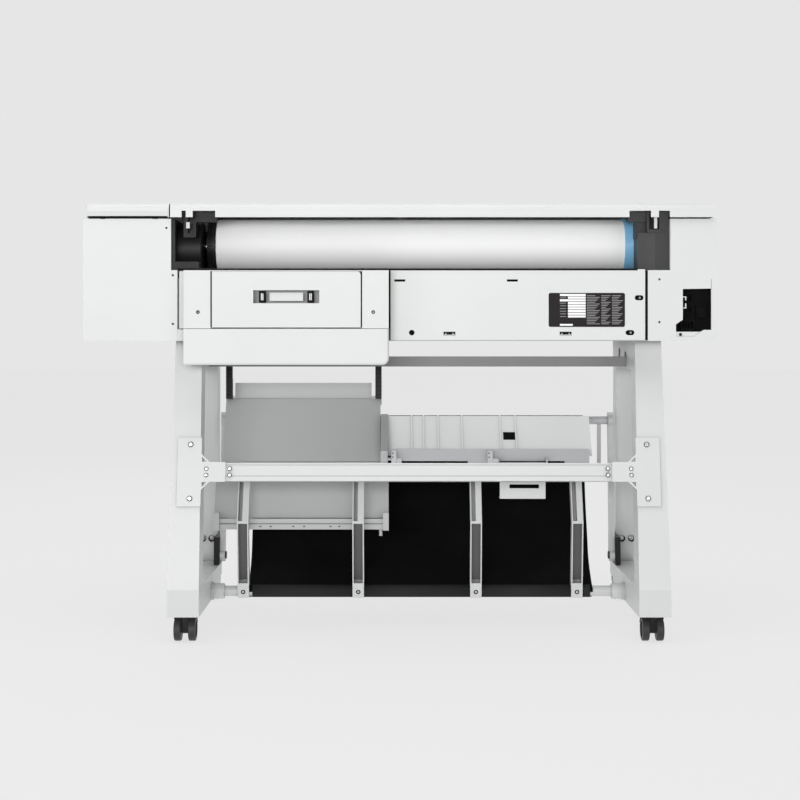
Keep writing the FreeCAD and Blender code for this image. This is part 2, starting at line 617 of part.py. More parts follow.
def end_cover(inner_low, inner_high, outer):
    """An end cover: a moulded box that is open towards the middle of the body, and above."""
    outline = [
        (inner_low, BODY_BOTTOM), (outer, BODY_BOTTOM), (outer, COVER_TOP),
        (inner_high, COVER_TOP), (inner_high, BAY_FLOOR), (inner_low, BAY_FLOOR)]
    solid = prism_y(outline, BODY_FRONT, BODY_REAR)
    solid = round_edges(solid, 9, lambda c, e: abs(c.x - outer) < 1 and abs(c.z - 787) < 1)
    solid = round_edges(solid, 4, lambda c, e: abs(c.x - outer) < 1 and abs(c.z - BODY_BOTTOM) < 1)
    step = SKIN if outer > 0 else -SKIN
    hollow = [
        (inner_low, BODY_BOTTOM + SKIN), (outer - step, BODY_BOTTOM + SKIN), (outer - step, COVER_TOP),
        (inner_high + step, COVER_TOP), (inner_high + step, BAY_FLOOR - SKIN), (inner_low,
                                                                                BAY_FLOOR - SKIN)]
    return solid.cut(prism_y(hollow, BODY_FRONT + SKIN, BODY_REAR - SKIN))


def screw_bores(points, radius=2.6):
    return [rod((x, BODY_REAR - 1.5, z), (x, BODY_REAR + 1, z), radius) for x, z in points]


INK_LEFT = -568
INK_RIGHT = -672
INK_BOTTOM = 682
INK_TOP = 790


def left_end_cover():
    """The end cover over the drive side, with counterbored screws on its rear face."""
    solid = end_cover(LOWER_LEFT, BAY_LEFT, BODY_HALF_WIDTH - 1)
    tab = block(ACCESS_LEFT + 1, LOWER_LEFT + 1, BODY_REAR - SKIN, BODY_REAR - 0.5, BODY_BOTTOM,
                ACCESS_SEAM - 1)
    solid = fuse([solid, tab])
    return cut_all(solid, screw_bores([(508, 899), (494, 796), (494, 690)]))


def right_end_cover():
    """The end cover over the ink side, with the connector recess at its rear outer corner."""
    solid = end_cover(LOWER_RIGHT, BAY_RIGHT, -BODY_HALF_WIDTH)
    outline = [
        (-616, 766), (-678, 767), (-678, 677), (-662, 677), (-655, 673), (-601, 673), (-601, 689), (-616,
                                                                                                    699)]
    solid = solid.cut(prism_y(outline, BODY_REAR - SKIN - 1, BODY_REAR + 1))
    chin = [(-656, 674), (-641, 662), (-602, 662), (-602, 674)]
    solid = solid.cut(prism_y(chin, BODY_REAR - 1.5, BODY_REAR + 1))
    solid = solid.cut(block(-679, -677.6, BODY_REAR - 1.5, BODY_REAR + 1, 765, 788))
    solid = solid.cut(block(INK_LEFT, INK_RIGHT, BODY_FRONT - 1, BODY_FRONT + SKIN + 1, INK_BOTTOM,
                            INK_TOP))
    return cut_all(solid, screw_bores([(-565, 787), (-565, 694)]))


def power_inlet():
    """The connector panel inside the recess, with the mains inlet and two ports."""
    back = BODY_REAR - 34
    panel = block(-598, -684, back - 3, back, 660, 770)
    inlet = block(-615, -645, back, back + 16, 676, 699)
    inlet = inlet.cut(block(-618, -642, back + 2, back + 17, 679, 696))
    pins = [block(x - 1, x + 1, back, back + 12, 684, 691) for x in (-624, -630, -636)]
    sockets = []
    for z in (712, 738):
        socket = block(-622, -640, back, back + 14, z, z + 18)
        sockets.append(socket.cut(block(-624, -638, back + 2, back + 15, z + 2, z + 16)))
    switch_frame = block(-650, -674, back, back + 6, 700, 732)
    switch_frame = switch_frame.cut(block(-652.5, -671.5, back, back + 7, 702.5, 729.5))
    return fuse([panel, inlet, switch_frame] + pins + sockets)


def power_switch():
    """The mains rocker, which turns on pins halfway along its frame."""
    back = BODY_REAR - 34
    z = 716
    outline = [(back + 4, z - 12), (back + 11, z - 12), (back + 8, z), (back + 7, z + 12),
               (back + 4, z + 12)]
    return prism_x(outline, -653, -671)


def rear_panel():
    """The white sheet that closes the rear of the body under the roll bay."""
    low, high = -534, 20
    panel = block(low, high, BODY_REAR - 2, BODY_REAR, BODY_BOTTOM + 2, BAY_FLOOR + 2)
    shelf = block(-518, high, 180, BODY_REAR, BAY_FLOOR - 1, BAY_FLOOR + 2)
    panel = panel.fuse(shelf)
    tools = []
    for x in (0, -245):
        tools.append(block(x - 12, x + 12, BODY_REAR - 3, BODY_REAR + 1, 782, 787))
    for x in (-108, -361):
        tools.append(block(x - 13, x + 13, BODY_REAR - 3, BODY_REAR + 1, 664, 673))
    tools.append(rod((-26, BODY_REAR - 3, 671), (-26, BODY_REAR + 1, 671), 6))
    for x, z in ((-521, 747), (-501, 671)):
        port = block(x - 4, x + 4, BODY_REAR - 3, BODY_REAR + 1, z - 5.5, z + 5.5)
        ends = [rod((x + s * 4, BODY_REAR - 3, z), (x + s * 4, BODY_REAR + 1, z), 5.5) for s in (-1, 1)]
        tools.append(fuse([port] + ends))
    return cut_all(panel, tools).removeSplitter()


HINGE_Z = BODY_TOP - 7
HINGE_RADIUS = 2.5
LID_LEFT = 499
LID_RIGHT = -682
CRADLE_TOP = 936
CRADLE_REAR = 222
LID_NOTCHES = ((474, 465), (450, 401), (-499, -546), (-563, -587))
LUG_X = (-668, 0, 485)
LUG_HALF = 5


def roll_cover():
    """The lid over the roll: a shallow moulded shell with rounded edges, hinged along its front."""
    solid = block(LID_RIGHT, LID_LEFT, LID_FRONT, BODY_REAR + 6, LID_BOTTOM, BODY_TOP)
    solid = round_edges(solid, 12, lambda c, e: c.y > BODY_REAR and c.z > BODY_TOP - 1)
    solid = solid.cut(block(LID_RIGHT + SKIN, LID_LEFT - SKIN, LID_FRONT, BODY_REAR + 6 - SKIN,
                            LID_BOTTOM, BODY_TOP - 4))
    for x0, x1 in LID_NOTCHES:
        solid = solid.cut(block(x0, x1, BODY_REAR - 6, BODY_REAR + 7, LID_BOTTOM, CRADLE_TOP))
    barrels = []
    for x0, x1 in zip(LUG_X[:-1], LUG_X[1:]):
        ends = (x0 + LUG_HALF + 2, LID_FRONT, HINGE_Z), (x1 - LUG_HALF - 2, LID_FRONT, HINGE_Z)
        barrels.append(rod(ends[0], ends[1], 5))
    solid = fuse([solid] + barrels)
    for x in LUG_X:
        solid = solid.cut(block(x - LUG_HALF - 2, x + LUG_HALF + 2, LID_FRONT - 6, LID_FRONT + 8,
                                LID_BOTTOM, BODY_TOP + 1))
    bore = rod((LID_RIGHT + 1, LID_FRONT, HINGE_Z), (LID_LEFT - 1, LID_FRONT, HINGE_Z),
               HINGE_RADIUS + RUNNING_GAP)
    return solid.cut(bore)


def left_top_cover():
    """The fixed cover on top of the left end."""
    solid = block(502, 682, BODY_FRONT, BODY_REAR + 6, LID_BOTTOM, BODY_TOP)
    solid = round_edges(solid, 11, lambda c, e: abs(c.y) > 200 and c.z > BODY_TOP - 1)
    solid = round_edges(solid, 5, lambda c, e: c.x > 681 and c.z > BODY_TOP - 1)
    undercut = [(BODY_REAR + 7, LID_BOTTOM - 1), (BODY_REAR + 2, LID_BOTTOM - 1),
                (BODY_REAR + 7, LID_BOTTOM + 17)]
    solid = solid.cut(prism_x(undercut, 501, 683))
    return solid.cut(block(505, 679, BODY_FRONT + SKIN, BODY_REAR + 6 - SKIN, LID_BOTTOM, BODY_TOP - 5))


WINDOW_LEFT = 440
WINDOW_RIGHT = -500
WINDOW_HINGE = (-78, BODY_TOP - 6)
FASCIA_TOP = 868
LID_GAP = 8


def top_frame():
    """The fixed front of the top, around the window, with the lugs and pin of the lid's hinge."""
    low, high = LID_RIGHT, LID_LEFT
    back = LID_FRONT - LID_GAP
    outline = [(BODY_FRONT, LID_BOTTOM), (back, LID_BOTTOM), (back, BODY_TOP), (-100, BODY_TOP),
               (BODY_FRONT + 24, BODY_TOP - 5), (BODY_FRONT, BODY_TOP - 18)]
    hollow = [(BODY_FRONT + SKIN, LID_BOTTOM), (back - SKIN, LID_BOTTOM), (back - SKIN, BODY_TOP - 4),
              (-100, BODY_TOP - 4), (BODY_FRONT + 26, BODY_TOP - 9), (BODY_FRONT + SKIN, BODY_TOP - 21)]
    solid = prism_x(outline, low, high).cut(prism_x(hollow, low + SKIN, high - SKIN))
    opening = block(WINDOW_RIGHT - 1, WINDOW_LEFT + 1, BODY_FRONT - 1, -88, LID_BOTTOM - 1, BODY_TOP + 1)
    solid = solid.cut(opening)
    lugs = [block(x - LUG_HALF, x + LUG_HALF, back - SKIN, LID_FRONT + 4, HINGE_Z - 5,
                  HINGE_Z + 4) for x in LUG_X]
    pin = rod((LUG_X[0], LID_FRONT, HINGE_Z), (LUG_X[-1], LID_FRONT, HINGE_Z), HINGE_RADIUS)
    window_y, window_z = WINDOW_HINGE
    ends = ((WINDOW_RIGHT - 1, WINDOW_RIGHT + 9), (WINDOW_LEFT - 9, WINDOW_LEFT + 1))
    pins = [rod((x0, window_y - 18, window_z), (x1, window_y - 18, window_z), HINGE_RADIUS) for x0,
            x1 in ends]
    return fuse([solid] + lugs + [pin] + pins)


def front_window():
    """The dark window over the print zone: it lifts on two pins at its rear corners."""
    y, z = WINDOW_HINGE[0] - 18, WINDOW_HINGE[1]
    path = [(BODY_FRONT - 1, FASCIA_TOP + 2), (BODY_FRONT - 1, BODY_TOP - 24),
            (BODY_FRONT + 22, BODY_TOP - 8),
            (y - 2, BODY_TOP - 4)]
    skin = sheet_x(path, 3, WINDOW_RIGHT + 1, WINDOW_LEFT - 1)
    ears = [rod((x0, y, z), (x1, y, z), 5) for x0, x1 in
            ((WINDOW_RIGHT + 1, WINDOW_RIGHT + 10), (WINDOW_LEFT - 10, WINDOW_LEFT - 1))]
    solid = fuse([skin] + ears)
    return solid.cut(rod((WINDOW_RIGHT, y, z), (WINDOW_LEFT, y, z), HINGE_RADIUS + RUNNING_GAP))


SLOT_BOTTOM = 742
SLOT_TOP = 772


def front_fascia():
    """The front cover between the end covers, with the mouth that the printed sheet leaves by."""
    low, high = LOWER_RIGHT + 0.5, LOWER_LEFT - 0.5
    upper = [(BODY_FRONT + 4, FASCIA_TOP), (BODY_FRONT, FASCIA_TOP), (BODY_FRONT, SLOT_TOP + 8),
             (BODY_FRONT + 30, SLOT_TOP), (BODY_FRONT + 34, SLOT_TOP + 4), (BODY_FRONT + 4, SLOT_TOP + 12)]
    lower = [(BODY_FRONT + 40, SLOT_BOTTOM), (BODY_FRONT + 12, SLOT_BOTTOM - 8),
             (BODY_FRONT, SLOT_BOTTOM - 30),
             (BODY_FRONT, BODY_BOTTOM), (BODY_FRONT + 4, BODY_BOTTOM), (BODY_FRONT + 4, SLOT_BOTTOM - 32),
             (BODY_FRONT + 14, SLOT_BOTTOM - 12), (BODY_FRONT + 40, SLOT_BOTTOM - 4)]
    cheeks = [block(x0, x1, BODY_FRONT, BODY_FRONT + 34, SLOT_BOTTOM - 30, SLOT_TOP + 12)
              for x0, x1 in ((low, low + 26), (high - 26, high))]
    return fuse([prism_x(upper, low, high), prism_x(lower, low, high)] + cheeks)


def ink_hinge():
    return BODY_FRONT + 5.5, INK_BOTTOM + 7


def ink_door():
    """The door over the cartridges, in the front of the ink side: it drops forward on a lower pin."""
    y, z = ink_hinge()
    plate = block(INK_LEFT - 1, INK_RIGHT + 1, BODY_FRONT, BODY_FRONT + 3, z - 3, INK_TOP - 1)
    barrel = rod((INK_LEFT - 1, y, z), (INK_RIGHT + 1, y, z), 3.5)
    pull = block(-605, -635, BODY_FRONT - 4, BODY_FRONT, INK_TOP - 14, INK_TOP - 8)
    solid = fuse([plate, barrel, pull])
    return solid.cut(rod((INK_LEFT, y, z), (INK_RIGHT, y, z), 1.5 + RUNNING_GAP))


def ink_bay():
    """The cartridge carrier inside the ink side, with the door's hinge pin."""
    solid = block(INK_LEFT + 1.2, INK_RIGHT - 1.2, BODY_FRONT + 12, -50, INK_BOTTOM - 16, INK_TOP + 8)
    pitch = (INK_LEFT - INK_RIGHT) / 4
    for number in range(4):
        x = INK_RIGHT + pitch * number
        solid = solid.cut(block(x + 2, x + pitch - 2, BODY_FRONT + 12, -62, INK_BOTTOM - 2, INK_TOP - 4))
    y, z = ink_hinge()
    solids = [solid, rod((INK_RIGHT - 4, y, z), (INK_LEFT + 4, y, z), 1.5)]
    for x0, x1 in ((INK_LEFT + 1.2, INK_LEFT + 4), (INK_RIGHT - 4, INK_RIGHT - 1.2)):
        solids.append(block(x0, x1, BODY_FRONT + SKIN + 0.5, BODY_FRONT + 13, z - 5, z + 5))
        solids.append(block(x0, x1 + (2 if x0 < INK_RIGHT else 0), BODY_FRONT + 12, BODY_FRONT + 15,
                            z - 12, z + 12))
    return fuse(solids)


def ink_cartridges():
    """Four ink cartridges side by side in their carrier."""
    pitch = (INK_LEFT - INK_RIGHT) / 4
    solids = []
    for number in range(4):
        x = INK_RIGHT + pitch * number
        body = block(x + 2.5, x + pitch - 2.5, BODY_FRONT + 16, -70, INK_BOTTOM - 2, INK_TOP - 10)
        solids.append(round_edges(body, 2, lambda c, e: c.y < BODY_FRONT + 17))
    return group(solids)


PANEL_X = 592
PANEL_HALF = 74
PANEL_Z = 912
PANEL_PIVOT_Z = PANEL_Z - 60


def control_panel():
    """The touch screen on the front of the drive side, which tilts on a pin in its mount."""
    y = BODY_FRONT - 9
    solid = block(PANEL_X - PANEL_HALF, PANEL_X + PANEL_HALF, y - 12, y, PANEL_PIVOT_Z - 6, PANEL_Z + 26)
    solid = round_edges(solid, 9, lambda c, e: abs(e.Vertexes[0].Y - e.Vertexes[-1].Y) > 5)
    screen = block(PANEL_X - PANEL_HALF + 12, PANEL_X + PANEL_HALF - 12, y - 13, y - 11.2, PANEL_Z - 54,
                   PANEL_Z + 14)
    neck = block(PANEL_X - 12, PANEL_X + 12, y, y + 3.5, PANEL_PIVOT_Z - 4, PANEL_PIVOT_Z + 8)
    barrel = rod((PANEL_X - 12, y + 3.5, PANEL_PIVOT_Z), (PANEL_X + 12, y + 3.5, PANEL_PIVOT_Z), 4)
    solid = fuse([solid.cut(screen), neck, barrel])
    bore = rod((PANEL_X - 13, y + 3.5, PANEL_PIVOT_Z), (PANEL_X + 13, y + 3.5, PANEL_PIVOT_Z),
               2 + RUNNING_GAP)
    return solid.cut(bore)


def panel_mount():
    """The two ears and the pin that carry the control panel."""
    y = BODY_FRONT - 5.5
    z = PANEL_PIVOT_Z
    solids = [rod((PANEL_X - 22, y, z), (PANEL_X + 22, y, z), 2)]
    for x0, x1 in ((PANEL_X - 22, PANEL_X - 14), (PANEL_X + 14, PANEL_X + 22)):
        solids.append(rod((x0, y, z), (x1, y, z), 3.2))
        solids.append(block(x0, x1, y, BODY_FRONT, z - 3.2, z + 3.2))
    return fuse(solids)


# ---------------------------------------------------------------- rear access module
ACCESS_LEFT = 465
ACCESS_RIGHT = 24
ACCESS_REAR = 270
ACCESS_SEAM = 679
ACCESS_TOP = 805
ACCESS_BOTTOM = 601
COVER_FRONT = 184
DOOR_LEFT = 404
DOOR_RIGHT = 84
DOOR_GAP = 2
GRIP_LEFT = 315
GRIP_RIGHT = 173
GRIP_LOW = 734
GRIP_HIGH = 762
LATCH_PITCH = 52


def access_housing():
    """The housing behind the body: side trims, roof and floor around the access door."""
    shell = block(ACCESS_RIGHT, ACCESS_LEFT, BODY_REAR - 2, ACCESS_REAR, ACCESS_SEAM + 1, ACCESS_TOP)
    shell = shell.cut(block(ACCESS_RIGHT + SKIN, ACCESS_LEFT - SKIN, BODY_REAR - 3, ACCESS_REAR - SKIN,
                            ACCESS_SEAM + 4, ACCESS_TOP - SKIN))
    door_way = block(DOOR_RIGHT - DOOR_GAP, DOOR_LEFT + DOOR_GAP, ACCESS_REAR - SKIN - 1, ACCESS_REAR + 1,
                     ACCESS_SEAM + 1, ACCESS_TOP - 1.5)
    floor_notch = block(DOOR_RIGHT - 1, DOOR_LEFT + 1, ACCESS_REAR - 20, ACCESS_REAR + 1, ACCESS_SEAM,
                        ACCESS_SEAM + 5)
    shell = shell.cut(floor_notch)
    strip = block(ACCESS_LEFT, ACCESS_LEFT + 15, BODY_REAR - 2, BODY_REAR - 1, ACCESS_SEAM + 1, ACCESS_TOP)
    solid = fuse([shell.cut(door_way), strip])
    for x in (434, 57):
        solid = solid.cut(rod((x, ACCESS_REAR - 1.8, 715), (x, ACCESS_REAR + 1, 715), 4))
    y, z = door_hinge()
    stubs = [rod((x0, y, z), (x1, y, z), 2) for x0, x1 in
             ((DOOR_RIGHT - 4, DOOR_RIGHT + 8), (DOOR_LEFT - 8, DOOR_LEFT + 4))]
    blocks = [block(x0, x1, y - 4, y + 2.5, ACCESS_SEAM + 1, z + 4) for x0, x1 in
              ((DOOR_RIGHT - 6, DOOR_RIGHT - 1), (DOOR_LEFT + 1, DOOR_LEFT + 6))]
    return fuse([solid] + stubs + blocks)


def door_hinge():
    return ACCESS_REAR - 5, ACCESS_SEAM + 13


def access_lower_cover():
    """The tapered cover under the access housing, with one rounded lower corner."""
    outline = [(ACCESS_RIGHT, ACCESS_SEAM), (ACCESS_LEFT, ACCESS_SEAM), (ACCESS_LEFT, ACCESS_BOTTOM),
               (ACCESS_RIGHT, ACCESS_BOTTOM)]
    solid = prism_y(outline, COVER_FRONT, ACCESS_REAR)
    solid = round_edges(solid, 14,
                        lambda c, e: abs(c.x - ACCESS_RIGHT) < 1 and abs(c.z - ACCESS_BOTTOM) < 1)
    solid = round_edges(solid, 5, lambda c, e: abs(c.y - ACCESS_REAR) < 1 and abs(c.z - ACCESS_BOTTOM) < 1)
    hollow = block(ACCESS_RIGHT + SKIN, ACCESS_LEFT - SKIN, COVER_FRONT + SKIN, ACCESS_REAR - 20,
                   ACCESS_BOTTOM + SKIN, ACCESS_SEAM - SKIN)
    solid = solid.cut(hollow)
    return solid.cut(block(ACCESS_RIGHT - 1, ACCESS_LEFT + 1, COVER_FRONT - 1, BODY_REAR + 1, BODY_BOTTOM,
                           ACCESS_SEAM + 1))


def access_door():
    """The door of the access housing, with a recessed grip between its two pinch latches."""
    y, z = door_hinge()
    plate = block(DOOR_RIGHT, DOOR_LEFT, ACCESS_REAR - SKIN, ACCESS_REAR, ACCESS_SEAM + 3, ACCESS_TOP - 2.5)
    plate = round_edges(plate, 8,
                        lambda c, e: abs(c.x - DOOR_RIGHT) < 1 and abs(c.z - ACCESS_TOP + 2.5) < 1)
    cup = block(GRIP_RIGHT - 3, GRIP_LEFT + 3, ACCESS_REAR - 24, ACCESS_REAR - SKIN, GRIP_LOW - 3,
                GRIP_HIGH + 3)
    cup = cup.cut(block(GRIP_RIGHT, GRIP_LEFT, ACCESS_REAR - 21, ACCESS_REAR + 1, GRIP_LOW, GRIP_HIGH))
    plate = plate.cut(block(GRIP_RIGHT, GRIP_LEFT, ACCESS_REAR - 4, ACCESS_REAR + 1, GRIP_LOW, GRIP_HIGH))
    middle = (GRIP_LEFT + GRIP_RIGHT) / 2
    bar = block(middle - LATCH_PITCH + 16, middle + LATCH_PITCH - 16, ACCESS_REAR - 21, ACCESS_REAR - 4,
                GRIP_LOW + 5, GRIP_HIGH - 5)
    barrel = rod((DOOR_RIGHT, y, z), (DOOR_LEFT, y, z), 4.5)
    solid = fuse([plate, cup, bar, barrel])
    bore = rod((DOOR_RIGHT - 1, y, z), (DOOR_LEFT + 1, y, z), 2 + RUNNING_GAP)
    return solid.cut(bore)


def access_latch(direction):
    """One pinch latch: a finger pad that slides towards the middle of the grip."""
    middle = (GRIP_LEFT + GRIP_RIGHT) / 2 + direction * LATCH_PITCH
    pad = block(middle - 7, middle + 7, ACCESS_REAR - 20.5, ACCESS_REAR - 2, GRIP_LOW + 1.5,
                GRIP_HIGH - 1.5)
    pad = round_edges(pad, 3, lambda c, e: c.y > ACCESS_REAR - 3)
    dish = rod((middle, ACCESS_REAR - 3.2, 748), (middle, ACCESS_REAR, 748), 4.2)
    return pad.cut(dish)


# ---------------------------------------------------------------- paper roll and spindle

def gear(teeth, x0, x1, y, z, phase):
    """A spur gear along X with straight-sided teeth, given some play so that it runs freely."""
    pitch = GEAR_MODULE * teeth / 2
    root, tip = pitch - 1.25 * GEAR_MODULE, pitch + 0.75 * GEAR_MODULE
    step = 2 * math.pi / teeth
    outline = []
    for number in range(teeth):
        middle = phase + number * step
        for radius, share in ((root, -0.31), (tip, -0.13), (tip, 0.13), (root, 0.31)):
            angle = middle + share * step
            outline.append((y + radius * math.cos(angle), z + radius * math.sin(angle)))
    return prism_x(outline, x0, x1)


def pinion_centre():
    distance = GEAR_MODULE * (DRIVE_TEETH + PINION_TEETH) / 2 + 0.3
    angle = math.radians(PINION_ANGLE)
    return ROLL_Y + distance * math.cos(angle), ROLL_Z + distance * math.sin(angle)


DRIVE_INNER = ROLL_LEFT
DRIVE_OUTER = 431
LOOSE_INNER = ROLL_RIGHT
LOOSE_OUTER = -527


def spindle_shaft():
    """The bar through the core, which rests in a cradle at each end."""
    bar = rod((LOOSE_OUTER - 40, ROLL_Y, ROLL_Z), (DRIVE_OUTER + 42, ROLL_Y, ROLL_Z), SHAFT_RADIUS)
    longest = 2 * math.pi * SHAFT_RADIUS + 1
    ends = [e for e in bar.Edges if 10 < e.Length < longest and abs(e.CenterOfMass.y - ROLL_Y) < 0.01]
    return bar.makeChamfer(1.5, ends)


def drive_flange():
    """The toothed flange at the drive end, with the hub that fills the core."""
    rim = gear(DRIVE_TEETH, DRIVE_INNER + 8, DRIVE_OUTER, ROLL_Y, ROLL_Z, 0)
    plate = rod((DRIVE_INNER, ROLL_Y, ROLL_Z), (DRIVE_INNER + 8, ROLL_Y, ROLL_Z), FLANGE_RADIUS)
    hub = rod((DRIVE_INNER - 36, ROLL_Y, ROLL_Z), (DRIVE_INNER, ROLL_Y, ROLL_Z), CORE_RADIUS - 0.1)
    solid = fuse([rim, plate, hub])
    return solid.cut(rod((DRIVE_INNER - 37, ROLL_Y, ROLL_Z), (DRIVE_OUTER + 1, ROLL_Y, ROLL_Z),
                         SHAFT_RADIUS))


def loose_flange():
    """The flange that slides along the shaft to meet the roll, with finger webs on its outer face."""
    plate = rod((LOOSE_INNER, ROLL_Y, ROLL_Z), (LOOSE_INNER - 7, ROLL_Y, ROLL_Z), FLANGE_RADIUS)
    rim = tube((LOOSE_INNER - 7, ROLL_Y, ROLL_Z), (LOOSE_OUTER, ROLL_Y, ROLL_Z), FLANGE_RADIUS - 1,
               FLANGE_RADIUS - 4)
    hub = rod((LOOSE_INNER + 36, ROLL_Y, ROLL_Z), (LOOSE_OUTER, ROLL_Y, ROLL_Z), CORE_RADIUS - 0.1)
    webs = []
    for number in range(6):
        web = block(LOOSE_INNER - 7, LOOSE_OUTER + 3, ROLL_Y + 20, ROLL_Y + FLANGE_RADIUS - 3,
                    ROLL_Z - 1.5, ROLL_Z + 1.5)
        web.rotate(V(0, ROLL_Y, ROLL_Z), V(1, 0, 0), number * 60)
        webs.append(web)
    solid = fuse([plate, rim, hub] + webs)
    return solid.cut(rod((LOOSE_INNER + 37, ROLL_Y, ROLL_Z), (LOOSE_OUTER - 1, ROLL_Y, ROLL_Z),
                         SHAFT_RADIUS))


def media_roll():
    """The roll of paper on its core."""
    return tube((ROLL_RIGHT, ROLL_Y, ROLL_Z), (ROLL_LEFT, ROLL_Y, ROLL_Z), ROLL_RADIUS, CORE_RADIUS)


def shaft_slot(x0, x1):
    """The upright slot that the shaft drops into, round at its foot."""
    foot = rod((x0, ROLL_Y, ROLL_Z), (x1, ROLL_Y, ROLL_Z), SHAFT_RADIUS + RUNNING_GAP)
    way = block(x0, x1, ROLL_Y - SHAFT_RADIUS - RUNNING_GAP, ROLL_Y + SHAFT_RADIUS + RUNNING_GAP, ROLL_Z,
                CRADLE_TOP + 1)
    return foot.fuse(way)


def drive_cradle():
    """The cradle at the drive end: a side wall, a drum-shaped housing and a latch post behind it."""
    floor = TROUGH + 3
    inner = DRIVE_OUTER + 8
    wall = block(490, BAY_LEFT - 0.5, 10, CRADLE_REAR, floor, COVER_TOP - 1)
    drum_y, drum_z = ROLL_Y + 48, ROLL_Z - 10
    drum = rod((inner, drum_y, drum_z), (490, drum_y, drum_z), 56)
    rim = tube((inner, drum_y, drum_z), (inner + 4, drum_y, drum_z), 58.5, 50)
    base = block(inner, 490, 20, CRADLE_REAR, floor, 826)
    ledge = block(LOWER_LEFT - 0.5, BAY_LEFT, 0, BODY_REAR, TROUGH, BAY_FLOOR + 0.5)
    post = block(447, 470, 166, 206, 880, CRADLE_TOP)
    side = block(401, 447, 196, 210, 913, CRADLE_TOP)
    slot = block(453, 465, 190, 211, 889, 916)
    tongue_gap = block(451, 464, 190, 211, 916, CRADLE_TOP + 1)
    horn = block(466, 474, 166, 206, 880, CRADLE_TOP)
    solid = fuse([wall, drum, rim, base, post, side, horn]).cut(ledge)
    solid = solid.cut(slot).cut(tongue_gap).cut(shaft_slot(inner - 1, 490))
    foot = block(404, inner, 196, CRADLE_REAR, floor, 812)
    y, z = pinion_centre()
    axle = rod((DRIVE_INNER + 5, y, z), (inner, y, z), 3)
    carrier = block(inner, inner + 6, y - 10, 80, z - 12, z + 6)
    return fuse([solid, foot, axle, carrier])


def spindle_pinion():
    """The motor's gear that drives the toothed flange, on its own axle."""
    y, z = pinion_centre()
    angle = math.radians(PINION_ANGLE) + math.pi
    # A tooth space of the pinion has to face the flange's tooth that is nearest this angle.
    step = 2 * math.pi / DRIVE_TEETH
    offset = (math.radians(PINION_ANGLE) % step) / step
    phase = angle + (0.5 + offset) * 2 * math.pi / PINION_TEETH
    solid = gear(PINION_TEETH, DRIVE_INNER + 9, DRIVE_OUTER - 1, y, z, phase)
    return solid.cut(rod((DRIVE_INNER + 8, y, z), (DRIVE_OUTER, y, z), 3 + RUNNING_GAP))


def idle_cradle():
    """The cradle at the loose end: a slotted post for the shaft, a stepped box and a latch post behind it."""
    floor = TROUGH + 3
    post = block(LOOSE_OUTER - 3, LOOSE_OUTER - 44, 20, 150, floor, 912).cut(
        shaft_slot(LOOSE_OUTER - 2, LOOSE_OUTER - 45))
    box = prism_z([(-522, 150), (-522, 206), (-558, 216), (BAY_RIGHT + 0.5, 216), (BAY_RIGHT + 0.5, 150)],
                  floor, 890)
    shelf = block(-520, -540, 152, 196, 880, 914)
    latch = block(-540, -588, 160, 214, 890, CRADLE_TOP)
    latch = latch.cut(block(-545.5, -567, 170, 215, 897, CRADLE_TOP + 1))
    lip = block(-541, -569, 206, 218, 890, 896)
    arm = block(-500, -540, 190, 204, 914, CRADLE_TOP)
    solid = fuse([post, box, shelf, latch, lip, arm])
    return solid.cut(block(LOWER_RIGHT + 0.5, BAY_RIGHT - 1, 0, BODY_REAR, TROUGH, BAY_FLOOR + 0.5))


# ---------------------------------------------------------------- print engine inside the body
BEAM_LEFT = 478
BEAM_RIGHT = -534
CARRIAGE_X = 400
CARRIAGE_HALF = 56
BELT_Y = -78
BELT_Z = 880
PULLEY_RADIUS = 10
PULLEY_X = {"motor": 462, "idler": -516}
BELT_THICK = 1.4
BELT_WIDTH = 7


def carriage_beam():
    """The extrusion across the body, its end feet, and the bright rod that the carriage slides on."""
    beam = block(BEAM_RIGHT, BEAM_LEFT, -64, -24, 812, 876)
    beam = beam.cut(block(BEAM_RIGHT - 1, BEAM_LEFT + 1, -61, -27, 815, 873))
    feet = [block(x0, x1, -130, -24, TROUGH, 850) for x0, x1 in
            ((BEAM_LEFT - 1, CHASSIS_LEFT), (CHASSIS_RIGHT, BEAM_RIGHT + 1))]
    guide = rod((BEAM_RIGHT, BEAM_ROD_Y, BEAM_ROD_Z), (BEAM_LEFT, BEAM_ROD_Y, BEAM_ROD_Z), BEAM_ROD_RADIUS)
    solids = [beam] + feet + [guide]
    for x in PULLEY_X.values():
        solids.append(block(x - 12, x + 12, BELT_Y - 9, -64, 858, 866))
        solids.append(block(x - 12, x + 12, -70, -64, 858, 900))
        solids.append(rod((x, BELT_Y - 9, BELT_Z + 0), (x, -64, BELT_Z), 2.5))
    return fuse(solids)


def belt_pulley(place):
    """A flanged pulley at one end of the carriage belt."""
    x = PULLEY_X[place]
    drum = rod((x, BELT_Y - 7, BELT_Z), (x, BELT_Y + 6, BELT_Z), PULLEY_RADIUS)
    flanges = [rod((x, y0, BELT_Z), (x, y0 + 1.2, BELT_Z), PULLEY_RADIUS + 2.5) for y0 in (BELT_Y - 7,
                                                                                           BELT_Y + 4.8)]
    solid = fuse([drum] + flanges)
    return solid.cut(rod((x, BELT_Y - 10, BELT_Z), (x, BELT_Y + 10, BELT_Z), 2.5 + RUNNING_GAP))


